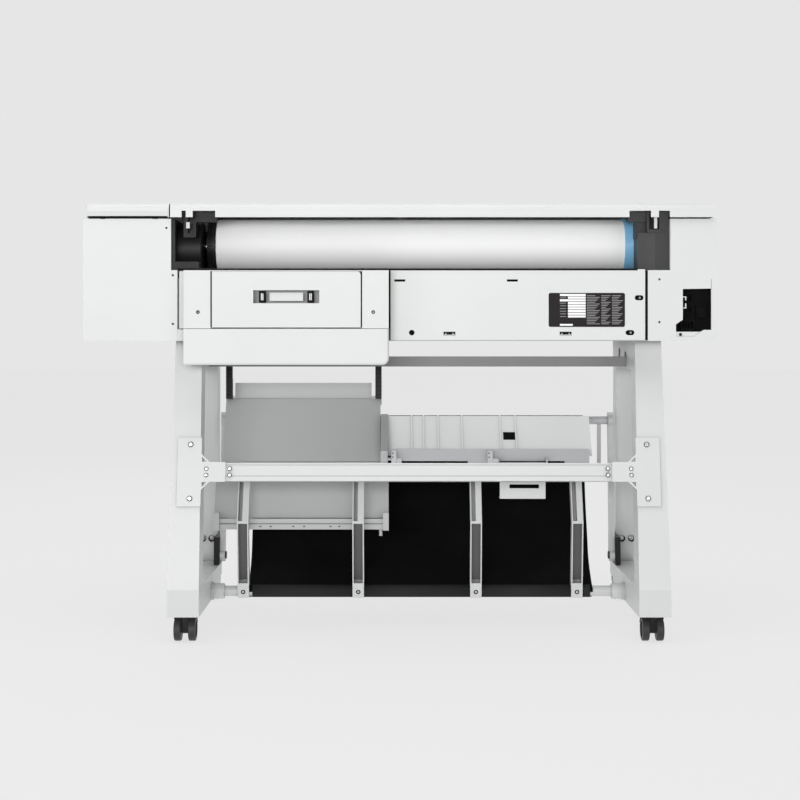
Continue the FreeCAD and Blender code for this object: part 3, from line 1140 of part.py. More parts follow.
def carriage_belt():
    """The closed belt between the two pulleys."""
    inner = PULLEY_RADIUS + 0.3
    outer = inner + BELT_THICK
    loops = []
    for radius in (outer, inner):
        ends = [rod((x, BELT_Y - BELT_WIDTH / 2, BELT_Z), (x, BELT_Y + BELT_WIDTH / 2, BELT_Z), radius)
                for x in PULLEY_X.values()]
        web = block(PULLEY_X["idler"], PULLEY_X["motor"], BELT_Y - BELT_WIDTH / 2, BELT_Y + BELT_WIDTH / 2,
                    BELT_Z - radius, BELT_Z + radius)
        loops.append(fuse(ends + [web]))
    return loops[0].cut(loops[1])


def carriage():
    """The print-head carriage, which hangs on the guide rod and clips over the lower run of the belt."""
    low, high = CARRIAGE_X - CARRIAGE_HALF, CARRIAGE_X + CARRIAGE_HALF
    outline = [(-205, 812), (-96, 812), (-96, 856), (-92, 860), (-92, 899), (-190, 899), (-205, 880)]
    solid = prism_x(outline, low, high)
    arm = block(CARRIAGE_X - 20, CARRIAGE_X + 20, -93, -75, 864, 868)
    heads = block(low + 12, high - 12, -200, -124, 806.5, 812)
    solid = fuse([solid, arm, heads])
    bore = rod((low, BEAM_ROD_Y, BEAM_ROD_Z), (high, BEAM_ROD_Y, BEAM_ROD_Z), BEAM_ROD_RADIUS + RUNNING_GAP)
    return solid.cut(bore)


def feed_roller():
    """The roller that moves the paper over the platen, on two journals."""
    low, high = CHASSIS_RIGHT + 14, CHASSIS_LEFT - 14
    barrel = rod((low, FEED_Y, FEED_Z), (high, FEED_Y, FEED_Z), FEED_RADIUS)
    journal = rod((CHASSIS_RIGHT + 0.5, FEED_Y, FEED_Z), (CHASSIS_LEFT - 0.5, FEED_Y, FEED_Z), FEED_SHAFT)
    return barrel.fuse(journal)


def platen():
    """The ribbed plate under the print head."""
    low, high = BEAM_RIGHT + 2, 330
    plate = block(low, high, -196, -78, 793, 798)
    ribs = [block(x - 1.5, x + 1.5, -190, -84, 798, 801) for x in range(-500, 320, 40)]
    return fuse([plate, block(low, high, -190, -186, 760, 793)] + ribs)


def service_station():
    """The box beside the platen where the head is capped and wiped."""
    box = block(344, BEAM_LEFT - 2, -194, -84, 700, 796)
    box = box.cut(block(356, 456, -188, -110, 770, 797))
    caps = [block(x - 14, x + 14, -180, -120, 770, 800) for x in (380, 420)]
    return fuse([box] + caps)


def electronics():
    """The main board and the power supply, on the inner side of the drive-side cover."""
    tray = block(CHASSIS_LEFT + 2, CHASSIS_LEFT + 6, -190, 190, 664, 800)
    board = block(CHASSIS_LEFT + 10, CHASSIS_LEFT + 11.6, -180, 60, 676, 790)
    posts = [rod((CHASSIS_LEFT + 6, y, z), (CHASSIS_LEFT + 10, y, z), 3) for y in (-170, 50) for z in (684,
                                                                                                       782)]
    supply = block(CHASSIS_LEFT + 6, CHASSIS_LEFT + 90, 76, 180, 680, 760)
    chips = [block(CHASSIS_LEFT + 11.6, CHASSIS_LEFT + 18, y - 14, y + 14, z - 14, z + 14)
             for y, z in ((-120, 750), (-60, 720), (10, 750))]
    return group([fuse([tray, supply, board] + posts + chips)])


# ---------------------------------------------------------------- the assembly, one file for each node

def build():
    nodes = {
        "leg_left": leg("left"), "leg_right": leg("right"), "foot_beams": foot_beams(),
        "cross_brace": group([cross_brace(), brace_plates()]), "upper_beam": upper_beam(),
        "stand_screws": stand_screws(), "bin_lower_tube": bin_lower_tube(), "bin_struts": bin_struts(),
        "bin_arms": bin_arms(), "arm_brackets": arm_brackets(), "bin_fabric": bin_fabric(),
        "stacker_ramp": stacker_ramp(), "ramp_rail": ramp_rail(), "ramp_racks": ramp_racks(),
        "output_tray": output_tray(), "tray_rail": tray_rail(), "tray_latch": tray_latch(),
        "chassis": group([chassis(),
                          ink_bay()]), "bay_liner": bay_liner(), "left_end_cover": group([left_end_cover(),
                                                                                          panel_mount()]),
        "right_end_cover": right_end_cover(), "power_inlet": power_inlet(), "power_switch": power_switch(),
        "rear_panel": rear_panel(), "roll_cover": roll_cover(), "left_top_cover": left_top_cover(),
        "top_frame": top_frame(), "front_window": front_window(), "front_fascia": front_fascia(),
        "ink_door": ink_door(), "ink_cartridges": ink_cartridges(),
        "control_panel": control_panel(),
        "access_housing": access_housing(), "access_lower_cover": access_lower_cover(),
        "access_door": access_door(), "access_latch_left": access_latch(1),
        "access_latch_right": access_latch(-1), "spindle_shaft": spindle_shaft(),
        "drive_flange": drive_flange(), "loose_flange": loose_flange(), "media_roll": media_roll(),
        "spindle_pinion": spindle_pinion(), "drive_cradle": drive_cradle(), "idle_cradle": idle_cradle(),
        "carriage_beam": carriage_beam(), "carriage": carriage(), "carriage_belt": carriage_belt(),
        "motor_pulley": belt_pulley("motor"), "idler_pulley": belt_pulley("idler"), "feed_roller": feed_roller(),
        "platen": group([platen(), service_station()]), "electronics": electronics(),
    }
    for side in ("left", "right"):
        for place in ("rear", "front"):
            nodes["caster_fork_%s_%s" % (place, side)] = caster_fork(side, place)
            nodes["caster_wheels_%s_%s" % (place, side)] = caster_wheels(side, place)
    return nodes


os.makedirs("parts", exist_ok=True)
for name, shape in build().items():
    placed = shape.copy()
    placed.translate(ORIGIN_SHIFT)
    placed.exportStep("parts/%s.step" % name)
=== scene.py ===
import json
import math

import bmesh
import bpy
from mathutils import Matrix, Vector, noise


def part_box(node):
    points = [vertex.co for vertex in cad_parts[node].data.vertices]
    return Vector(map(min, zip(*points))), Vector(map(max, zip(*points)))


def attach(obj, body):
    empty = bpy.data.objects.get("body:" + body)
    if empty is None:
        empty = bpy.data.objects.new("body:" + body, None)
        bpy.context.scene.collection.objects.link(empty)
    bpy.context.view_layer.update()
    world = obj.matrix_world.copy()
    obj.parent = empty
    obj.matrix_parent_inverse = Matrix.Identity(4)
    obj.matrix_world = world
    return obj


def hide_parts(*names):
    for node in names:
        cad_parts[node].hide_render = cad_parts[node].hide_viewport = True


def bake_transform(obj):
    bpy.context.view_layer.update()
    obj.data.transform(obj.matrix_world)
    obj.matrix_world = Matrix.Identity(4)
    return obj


# A 36 inch roll plotter on its wheeled stand, seen from behind.  Metres, +Z up, the rear faces +Y.
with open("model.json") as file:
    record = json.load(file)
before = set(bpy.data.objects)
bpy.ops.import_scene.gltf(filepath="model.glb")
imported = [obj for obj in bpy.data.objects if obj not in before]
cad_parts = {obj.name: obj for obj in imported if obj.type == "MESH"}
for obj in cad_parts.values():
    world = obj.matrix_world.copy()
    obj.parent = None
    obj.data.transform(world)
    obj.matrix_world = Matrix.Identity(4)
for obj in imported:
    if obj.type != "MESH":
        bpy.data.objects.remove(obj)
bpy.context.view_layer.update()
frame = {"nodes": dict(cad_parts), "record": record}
NODES = frame["nodes"]

# ------------------------------------------------------------------ camera, stage and light
CAMERA_Y = 3.515
CAMERA_Z = 0.655
FOCAL = 67.2
SHIFT_Y = -0.075
BACKDROP = 0.791
REAR_SKY = 0.22
FLOOR_BASE = 0.12
FLOOR_GLOW = 0.70
FLOOR_REACH = 30
SKY_FADE = (0.05, 0.75)
# Each lamp's name, place, target, size and power in watts.
LAMPS = (("key", (0.7, 5.0, 1.02), (0, 0, 0.8), (3.4, 0.9), 112),
         ("side", (4.2, 2.2, 1.3), (0, 0.2, 0.7), (1.6, 1.8), 24),
         ("fill", (-2.8, 4.4, 0.9), (0, 0, 0.6), (2.4, 1.2), 16),
         ("top", (0.2, 1.2, 3.4), (0, 0.1, 0.7), (2.8, 1.6), 40),
         ("front", (0.6, -3.6, 2.6), (0, 0, 0.7), (2.6, 2.0), 22))


def add_object(name, data):
    made = bpy.data.objects.new(name, data)
    bpy.context.scene.collection.objects.link(made)
    return made


def camera():
    data = bpy.data.cameras.new("camera")
    data.lens = FOCAL
    data.sensor_width = 36
    data.shift_y = SHIFT_Y
    data.clip_end = 60
    holder = add_object("camera", data)
    holder.location = (0, CAMERA_Y, CAMERA_Z)
    holder.rotation_euler = (math.radians(90), 0, math.radians(180))
    bpy.context.scene.camera = holder


def area_light(name, place, target, size, power):
    data = bpy.data.lights.new(name, "AREA")
    data.shape = "RECTANGLE"
    data.size, data.size_y = size
    data.energy = power
    lamp = add_object(name, data)
    lamp.location = place
    lamp.rotation_euler = (Vector(target) - Vector(place)).to_track_quat("-Z", "Y").to_euler()


def stage():
    """A pale floor that reaches far past the object and fades into an even pale backdrop."""
    mesh = bpy.data.meshes.new("floor")
    far = FLOOR_REACH
    mesh.from_pydata([(-far, -far, 0), (far, -far, 0), (far, far, 0), (-far, far, 0)], [], [(0, 1, 2, 3)])
    floor = add_object("floor", mesh)
    mat = bpy.data.materials.new("floor")
    mat.use_nodes = True
    shader = mat.node_tree.nodes["Principled BSDF"]
    shader.inputs["Base Color"].default_value = (FLOOR_BASE, FLOOR_BASE, FLOOR_BASE, 1)
    shader.inputs["Roughness"].default_value = 1.0
    shader.inputs["Specular IOR Level"].default_value = 0.0
    shader.inputs["Emission Color"].default_value = (1, 1, 1, 1)
    shader.inputs["Emission Strength"].default_value = FLOOR_GLOW
    mesh.materials.append(mat)
    studio_world()
    bpy.context.scene.view_settings.view_transform = "Standard"
    for lamp in LAMPS:
        area_light(*lamp)


def studio_world():
    """An even backdrop in front of the object, darker on the side that the roll is loaded from."""
    world = bpy.data.worlds.new("studio")
    bpy.context.scene.world = world
    world.use_nodes = True
    tree = world.node_tree
    place = tree.nodes.new("ShaderNodeTexCoord")
    parts = tree.nodes.new("ShaderNodeSeparateXYZ")
    tree.links.new(place.outputs["Generated"], parts.inputs[0])
    fade = tree.nodes.new("ShaderNodeMapRange")
    fade.interpolation_type = "SMOOTHSTEP"
    for name, value in zip(("From Min", "From Max", "To Min", "To Max"), (*SKY_FADE, BACKDROP, REAR_SKY)):
        fade.inputs[name].default_value = value
    tree.links.new(parts.outputs["Y"], fade.inputs["Value"])
    tree.links.new(fade.outputs["Result"], tree.nodes["Background"].inputs["Strength"])
    tree.nodes["Background"].inputs["Color"].default_value = (1, 1, 1, 1)


# ------------------------------------------------------------------ materials
# Painted shade: surfaces paler than PALE are darkened in corners, creases and between parts, by up to a given
# share within a given reach.
CORNER_REACH = 0.022
CORNER_SHADE = 0.5
PALE = 0.3
TONE_PLACES = (0.3, 0.7)
WHITE = (0.628, 0.64, 0.634)
# Nodes that wear another material than the one of their slot. The upper beam's dark grey is painted shade,
# for the shade under the printer; the tray's paler paint is painted light.
WEARS = {"output_tray": "tray_paint_with_painted_light", "power_inlet": "deep_black", "power_switch": "deep_black",
         "upper_beam": "beam_shade_grey", "bin_struts": "strut_paint", "bin_lower_tube": "strut_paint"}


class Graph:
    """A short way to write a material's nodes."""

    def __init__(self, name):
        self.name = name
        self.mat = bpy.data.materials.new("surface " + name)
        self.mat.use_nodes = True
        self.tree = self.mat.node_tree
        self.shader = self.tree.nodes["Principled BSDF"]
        self.place = self.add("ShaderNodeTexCoord").outputs["Object"]

    def add(self, kind, **values):
        node = self.tree.nodes.new(kind)
        for key, value in values.items():
            setattr(node, key, value)
        return node

    def link(self, source, target):
        self.tree.links.new(source, target)

    def stretched(self, scale):
        node = self.add("ShaderNodeMapping")
        node.inputs["Scale"].default_value = scale
        self.link(self.place, node.inputs["Vector"])
        return node.outputs["Vector"]

    def noise(self, scale, detail=3.0, rough=0.55, vector=None):
        node = self.add("ShaderNodeTexNoise")
        node.inputs["Scale"].default_value = scale
        node.inputs["Detail"].default_value = detail
        node.inputs["Roughness"].default_value = rough
        self.link(vector or self.place, node.inputs["Vector"])
        return node.outputs["Fac"]

    def bands(self, scale, direction):
        node = self.add("ShaderNodeTexWave", wave_type="BANDS", bands_direction=direction)
        node.inputs["Scale"].default_value = scale
        self.link(self.place, node.inputs["Vector"])
        return node.outputs["Fac"]

    def spread(self, value, low, high):
        """Maps a 0 to 1 value to low to high."""
        node = self.add("ShaderNodeMapRange")
        node.inputs["To Min"].default_value = low
        node.inputs["To Max"].default_value = high
        self.link(value, node.inputs["Value"])
        return node.outputs["Result"]

    def between(self, value, low, high):
        """A ramp from one colour to another."""
        ramp = self.add("ShaderNodeValToRGB")
        for part, place, tone in zip(ramp.color_ramp.elements, TONE_PLACES, (low, high)):
            part.position = place
            part.color = (*tone, 1)
        self.link(value, ramp.inputs["Fac"])
        return ramp.outputs["Color"]

    def product(self, a, b):
        node = self.add("ShaderNodeMath", operation="MULTIPLY")
        self.link(a, node.inputs[0])
        self.link(b, node.inputs[1])
        return node.outputs["Value"]

    def colour(self, base, value, depth, corner_shade=0.0):
        """The base colour, varied a little by a 0 to 1 value, and darkened in corners and between parts by
        painted shade.
        """
        low = tuple(max(c * (1 - depth), 0) for c in base)
        high = tuple(min(c * (1 + depth), 1) for c in base)
        tone = self.between(value, low, high)
        if corner_shade:
            # Painted shade: an ambient occlusion reading darkens the colour near other surfaces.
            corner = self.add("ShaderNodeAmbientOcclusion", samples=6)
            corner.inputs["Distance"].default_value = CORNER_REACH
            dim = self.add("ShaderNodeVectorMath", operation="SCALE")
            self.link(tone, dim.inputs[0])
            self.link(self.spread(corner.outputs["AO"], 1 - corner_shade, 1), dim.inputs["Scale"])
            tone = dim.outputs["Vector"]
        self.link(tone, self.shader.inputs["Base Color"])

    def rough(self, value, low, high):
        self.link(self.spread(value, low, high), self.shader.inputs["Roughness"])

    def bump(self, height, distance, strength=1.0):
        node = self.add("ShaderNodeBump")
        node.inputs["Distance"].default_value = distance
        node.inputs["Strength"].default_value = strength
        previous = self.shader.inputs["Normal"].links
        if previous:
            self.link(previous[0].from_socket, node.inputs["Normal"])
        self.link(height, node.inputs["Height"])
        self.link(node.outputs["Normal"], self.shader.inputs["Normal"])

    def put(self, **values):
        for key, value in values.items():
            self.shader.inputs[key.replace("_", " ")].default_value = value


def moulded(name, base, rough=(0.42, 0.52), grain=2600, depth=0.00006, tint=0.02, spec=0.4):
    """Moulded plastic: fine spark texture, faint flow marks and a slightly uneven gloss."""
    g = Graph(name)
    cloud = g.noise(4.5, 4)
    # Pale plastics get painted shade in their corners.
    g.colour(base, cloud, tint, CORNER_SHADE if base[0] > PALE else 0)
    g.rough(g.noise(38, 3), *rough)
    g.bump(g.noise(grain, 2, 0.7), depth)
    g.put(Specular_IOR_Level=spec)
    return g


def powder(name, base, rough=(0.36, 0.48)):
    """Powder coat on sheet steel: a soft orange peel and faint handling marks."""
    g = Graph(name)
    # Pale paint gets painted shade in its corners.
    g.colour(base, g.noise(3.2, 5), 0.022, CORNER_SHADE if base[0] > PALE else 0)
    g.rough(g.noise(26, 4), *rough)
    g.bump(g.noise(520, 2), 0.00012)
    g.bump(g.noise(2400, 2), 0.00003)
    g.put(Coat_Weight=0.12, Coat_Roughness=0.3)
    return g


def make_materials():
    mats = {}

    def keep(graph):
        mats[graph.name] = graph.mat
        return graph

    keep(moulded("white_plastic", WHITE))
    keep(moulded("pale_plastic", (0.70, 0.712, 0.706), (0.45, 0.58)))
    keep(powder("white_steel", (0.582, 0.594, 0.588)))
    keep(powder("grey_sheet", (0.465, 0.475, 0.47), (0.42, 0.54)))
    keep(powder("grey_channel", (0.42, 0.425, 0.435)))
    # Painted shade: the upper beam is made dark to stand for the shade under the printer's body.
    keep(powder("beam_shade_grey", (0.16, 0.16, 0.16)))
    keep(powder("strut_paint", (0.585, 0.595, 0.59)))
    # Painted light: the tray's paint is made much paler than the stand's, to stand for light falling on it
    # from above.
    keep(powder("tray_paint_with_painted_light", (0.93, 0.94, 0.935)))
    keep(powder("channel_shade", (0.10, 0.10, 0.10)))
    # Painted shade: the dark rings round the screws of the brace plates.
    keep(powder("shade_ring_grey", (0.16, 0.16, 0.16)))
    keep(powder("seam_grey", (0.42, 0.425, 0.42)))
    keep(powder("arm_paint", (0.50, 0.505, 0.515)))
    keep(moulded("black_plastic", (0.011, 0.011, 0.011), (0.34, 0.5), 1800, 0.0001, 0.25, 0.2))
    keep(moulded("dark_plastic", (0.034, 0.034, 0.036), (0.4, 0.55), 1900, 0.00008, 0.12, 0.3))
    keep(moulded("latch_plastic", (0.008, 0.008, 0.008), (0.4, 0.5), 1900, 0.00005, 0.12, 0.1))
    keep(moulded("cartridge_plastic", (0.05, 0.05, 0.055), (0.3, 0.45), 1900, 0.00006, 0.12))
    blue = keep(moulded("blue_plastic", (0.26, 0.58, 0.86), (0.22, 0.36), 1700, 0.00004, 0.08))
    blue.put(Coat_Weight=0.25, Coat_Roughness=0.15)

    paper = keep(Graph("paper"))
    around = paper.stretched((0.6, 14, 14))
    paper.colour((0.97, 0.97, 0.97), paper.noise(5, 3, vector=around), 0.008)
    paper.rough(paper.noise(9), 0.5, 0.58)
    paper.bump(paper.noise(900, 3), 0.00002)
    paper.put(Sheen_Weight=0.06)

    steel = keep(Graph("bright_steel"))
    steel.colour((0.56, 0.565, 0.57), steel.noise(30, 4), 0.06)
    steel.rough(steel.noise(140, 3), 0.24, 0.4)
    steel.bump(steel.noise(700, 2, vector=steel.stretched((0.05, 1, 1))), 0.00002)
    steel.put(Metallic=1.0)

    alu = keep(Graph("aluminium"))
    alu.colour((0.64, 0.645, 0.65), alu.noise(24, 4), 0.05)
    alu.rough(alu.noise(90, 3), 0.3, 0.45)
    alu.bump(alu.noise(1400, 2, vector=alu.stretched((0.02, 1, 1))), 0.00003)
    alu.put(Metallic=1.0)

    keep(moulded("roller_rubber", (0.02, 0.02, 0.021), (0.6, 0.75), 1500, 0.0001, 0.1))
    tread = keep(moulded("wheel_rubber", (0.026, 0.026, 0.028), (0.42, 0.6), 1300, 0.0001, 0.15))
    tread.put(Sheen_Weight=0.05)

    cloth = keep(Graph("bin_cloth"))
    weave = cloth.product(cloth.bands(260, "X"), cloth.bands(260, "Z"))
    cloth.colour((0.0040, 0.0040, 0.0041), cloth.noise(7, 4), 0.3)
    cloth.rough(cloth.noise(60, 3), 0.72, 0.9)
    cloth.bump(weave, 0.00022)
    cloth.bump(cloth.noise(16, 3), 0.0012, 0.5)
    cloth.put(Sheen_Weight=0.015, Sheen_Roughness=0.5, Specular_IOR_Level=0.04)

    glass = keep(Graph("smoked_window"))
    glass.colour((0.03, 0.033, 0.037), glass.noise(3, 2), 0.08)
    glass.rough(glass.noise(30, 3), 0.06, 0.12)
    glass.put(Alpha=0.88, Coat_Weight=0.5, Coat_Roughness=0.04)

    keep(moulded("deep_black", (0.004, 0.004, 0.004), (0.6, 0.8), 900, 0.0001, 0.1, 0.1))
    keep(moulded("label_dark", (0.017, 0.014, 0.015), (0.5, 0.6), 700, 0.00002, 0.1, 0.12))
    keep(moulded("sleeve_cloth", (0.024, 0.024, 0.024), (0.7, 0.8), 900, 0.0002, 0.2, 0.1))
    keep(moulded("label_white", (0.82, 0.82, 0.82), (0.4, 0.5), 700, 0.00001, 0.03))
    keep(moulded("label_grey", (0.24, 0.235, 0.235), (0.4, 0.5), 700, 0.00001, 0.2))
    dark_steel = keep(Graph("dark_steel"))
    dark_steel.colour((0.08, 0.08, 0.082), dark_steel.noise(60, 3), 0.15)
    dark_steel.rough(dark_steel.noise(200, 3), 0.3, 0.45)
    dark_steel.put(Metallic=1.0)

    board = keep(moulded("board_green", (0.02, 0.12, 0.06), (0.3, 0.45), 900, 0.0001, 0.2))
    board.put(Coat_Weight=0.3)
    return mats


# ------------------------------------------------------------------ the CAD nodes keep their shape

def dress_nodes(mats):
    """Gives each CAD node the material of its slot, or the one that it wears instead."""
    for part in frame["record"]["subparts"]:
        piece = NODES[part["node"]]
        piece.data.materials.clear()
        piece.data.materials.append(mats[WEARS.get(part["node"], part["material_slot"])])


# ------------------------------------------------------------------ mesh helpers
BEVEL_SEGMENTS = 2
BEVEL_ANGLE = 35
CORNER_STEPS = 6
PIN_STEPS = 16
HEAD_STEPS = 24
RING_STEPS = 28
SLEEVE_STEPS = 40


def make_piece(name, verts, faces, material, body, smooth=True):
    """A new piece: its mesh in the row frame, its material, its body, if it rides on one."""
    mesh = bpy.data.meshes.new(name)
    mesh.from_pydata([tuple(v) for v in verts], [], faces)
    mesh.validate()
    bm = bmesh.new()
    bm.from_mesh(mesh)
    bmesh.ops.recalc_face_normals(bm, faces=bm.faces)
    bm.to_mesh(mesh)
    bm.free()
    for polygon in mesh.polygons:
        polygon.use_smooth = smooth
    mesh.materials.append(material)
    piece = add_object(name, mesh)
    if body:
        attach(piece, body)
    return piece


def flat_piece(name, shape, surface, body="frame"):
    """A flat-shaded piece made from a shape."""
    return make_piece(name, shape.verts, shape.faces, MATS[surface], body, False)


def round_piece(name, shape, surface, body="frame"):
    """A smooth-shaded piece made from a shape."""
    return make_piece(name, shape.verts, shape.faces, MATS[surface], body)


def bevelled(piece, width):
    bevel = piece.modifiers.new("soft edges", "BEVEL")
    bevel.width = width
    bevel.segments = BEVEL_SEGMENTS
    bevel.limit_method = "ANGLE"
    bevel.angle_limit = math.radians(BEVEL_ANGLE)
    bevel.harden_normals = True


class Shape:
    """Gathers vertices and faces for one piece."""

    def __init__(self):
        self.verts = []
        self.faces = []

    def box(self, low, high):
        base = len(self.verts)
        for x in (low[0], high[0]):
            for y in (low[1], high[1]):
                for z in (low[2], high[2]):
                    self.verts.append((x, y, z))
        quads = ((0, 1, 3, 2), (4, 6, 7, 5), (0, 4, 5, 1), (2, 3, 7, 6), (0, 2, 6, 4), (1, 5, 7, 3))
        self.faces += [tuple(base + i for i in quad) for quad in quads]

    def plate(self, outline, start, depth, up="Y"):
        """An outline in the two other axes, extruded from start by depth along Y or X."""
        base = len(self.verts)
        count = len(outline)
        for level in (start, start + depth):
            for a, b in outline:
                self.verts.append((a, level, b) if up == "Y" else (level, a, b))
        self.faces.append(tuple(base + i for i in range(count)))
        self.faces.append(tuple(base + count + i for i in reversed(range(count))))
        for i in range(count):
            j = (i + 1) % count
            self.faces.append((base + i, base + count + i, base + count + j, base + j))

    def lathe(self, centre, axis, profile, steps=32):
        """Turns a profile of (along, radius) about an axis through the centre, and caps both ends."""
        axis = Vector(axis).normalized()
        side = axis.orthogonal().normalized()
        other = axis.cross(side)
        base = len(self.verts)
        count = len(profile)
        for step in range(steps):
            angle = 2 * math.pi * step / steps
            out = side * math.cos(angle) + other * math.sin(angle)
            for along, radius in profile:
                self.verts.append(tuple(Vector(centre) + axis * along + out * radius))
        for step in range(steps):
            after = (step + 1) % steps
            for i in range(count - 1):
                a, b = base + step * count + i, base + after * count + i
                self.faces.append((a, b, b + 1, a + 1))
        self.faces.append(tuple(base + step * count for step in range(steps)))
        self.faces.append(tuple(base + step * count + count - 1 for step in reversed(range(steps))))

    def slab(self, corners, lift):
        """A four-sided plate: its corners in order, and the step to its other face."""
        base = len(self.verts)
        self.verts += [tuple(c) for c in corners] + [tuple(c + lift) for c in corners]
        quads = ((3, 2, 1, 0), (4, 5, 6, 7), (0, 1, 5, 4), (1, 2, 6, 5), (2, 3, 7, 6), (3, 0, 4, 7))
        self.faces += [tuple(base + i for i in quad) for quad in quads]


def rounded(low, high, radius):
    """A rectangle with round corners, as a list of points."""
    points = []
    corners = ((high[0] - radius, high[1] - radius, 0), (low[0] + radius, high[1] - radius, 1),
               (low[0] + radius, low[1] + radius, 2), (high[0] - radius, low[1] + radius, 3))
    for x, y, quarter in corners:
        for step in range(CORNER_STEPS + 1):
            angle = math.pi / 2 * (quarter + step / CORNER_STEPS)
            points.append((x + radius * math.cos(angle), y + radius * math.sin(angle)))
    return points


# ------------------------------------------------------------------ the cloth of the bin
CLOTH_STEPS_ACROSS = 150
CLOTH_STEPS_ALONG = 12
CLOTH_THICK = 0.0009
HEM_RADIUS = 0.0115
TUBE_WRAP_RADIUS = 0.0132
ARM_CAP = 0.016
# The slack stretch: each point's share of the bin's depth, and its height over the lower tube.
SLACK = ((0.60, 0.060), (0.34, 0.124), (0.10, 0.205), (0.015, 0.290))
# The folds: height, how often they come across and along the cloth, and where the noise is read.
FOLDS = ((0.0032, 5.2, 2.2, 3.1), (0.0016, 17, 3.5, 8.7))
FOLD_RISE = 0.4
GATHER = 0.0009
GATHERS_PER_METRE = 130
GATHER_WANDER = 2.2
GATHER_FADE = 5
BELLY = 0.006
EDGE_CURL = 0.003
HELD_ROWS = 8


def catmull(points, steps):
    """A smooth line through the points."""
    padded = [points[0] * 2 - points[1]] + points + [points[-1] * 2 - points[-2]]
    line = []
    for i in range(1, len(padded) - 2):
        a, b, c, d = padded[i - 1:i + 3]
        for step in range(steps):
            t = step / steps
            line.append(0.5 * ((2 * b) + (c - a) * t + (2 * a - 5 * b + 4 * c - d) * t * t
                               + (3 * b - a - 3 * c + d) * t ** 3))
    return line + [points[-1]]


def arc(centre, radius, start, turn, steps):
    """Points round a centre in the side view, from a start angle through a turn, in degrees."""
    points = []
    for step in range(steps + 1):
        angle = math.radians(start + turn * step / steps)
        points.append(Vector((0, centre.y + radius * math.cos(angle), centre.z + radius * math.sin(angle))))
    return points


def fold_at(x, run):
    """How far the cloth stands off its profile: wide folds, narrow ones, and gathers by the lower tube."""
    fold = 0.0
    for height, across, along, seed in FOLDS:
        fold += height * noise.noise(Vector((x * across, run * along, seed)))
    wander = GATHER_WANDER * noise.noise(Vector((x * 9, 0, 1)))
    return fold + GATHER * math.sin(x * GATHERS_PER_METRE + wander) * max(0.0, 1 - run * GATHER_FADE)


def bin_cloth():
    """A sheet sewn round the lower tube, slack across the front of the bin, and hemmed round the top tube."""
    low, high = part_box("bin_fabric")
    tube = sum(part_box("bin_lower_tube"), Vector()) / 2
    top = Vector((0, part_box("bin_arms")[0].y + ARM_CAP, high.z))
    slack = [Vector((0, low.y + (high.y - low.y) * share, tube.z + rise)) for share, rise in SLACK]
    sleeve = arc(tube, TUBE_WRAP_RADIUS, -60, -300, 18)
    hem = arc(top, HEM_RADIUS, -35, 300, 16)
    line = catmull([sleeve[-1]] + slack + [hem[0]], CLOTH_STEPS_ALONG)
    profile = sleeve[:-1] + line + hem[1:]
    first, last = len(sleeve), len(sleeve) + len(line)
    along = [0.0]
    for a, b in zip(profile, profile[1:]):
        along.append(along[-1] + (b - a).length)
    verts = []
    for column in range(CLOTH_STEPS_ACROSS + 1):
        share = column / CLOTH_STEPS_ACROSS
        x = low.x + (high.x - low.x) * share
        for index, point in enumerate(profile):
            free = max(0.0, min(1.0, (index - first) / HELD_ROWS, (last - index) / HELD_ROWS))
            run = (index - first) / (last - first)
            fold = fold_at(x, run)
            belly = -BELLY * math.sin(math.pi * share) * math.sin(math.pi * min(max(run, 0), 1))
            edge = EDGE_CURL * math.sin(run * math.pi) * (1 - 2 * share) ** 9
            verts.append((x - edge, point.y + (fold + belly) * free, point.z + fold * FOLD_RISE * free))
    rows = len(profile)
    faces = []
    for column in range(CLOTH_STEPS_ACROSS):
        for row in range(rows - 1):
            a = column * rows + row
            faces.append((a, a + rows, a + rows + 1, a + 1))
    cloth = make_piece("bin_cloth_sheet", verts, faces, MATS["bin_cloth"], None)
    skin = cloth.modifiers.new("thickness", "SOLIDIFY")
    skin.thickness = CLOTH_THICK
    skin.offset = 0
    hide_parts("bin_fabric")
    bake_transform(cloth)


# ------------------------------------------------------------------ the rating plate, with no lettering
LABEL_WIDTH = 0.166
LABEL_HEIGHT = 0.074
LABEL_INSET = 0.344
LABEL_RISE = 0.0285
LABEL_THICK = 0.0003
LABEL_MARGIN = 0.0022
INK_BASE = 0.0002
CELL_TOP = 0.0005
RULE_TOP = 0.0004
CELL_ROWS = 9
CELL_PITCH = 0.0525 / CELL_ROWS
WIDE_CELLS = (0, 2)
RULED_CELLS = (1, 3, 4, 5, 6, 7, 8)
CELL_FILL = 0.8
LOW_CELL_WIDTH = 0.028
LOW_CELL = (0.0025, 0.0065)
# The cells' edges, from the plate's own left edge: the wide start, the narrow start and the end.
CELL_EDGES = (0.0245, 0.0420, 0.0805)
RULE_ROWS = 18
RULE_PITCH = 0.0036
RULE_HEIGHT = 0.0014
RULES_START = 0.006
RULE_BLOCKS = ((0.50, 0.17), (0.69, 0.12), (0.83, 0.14))


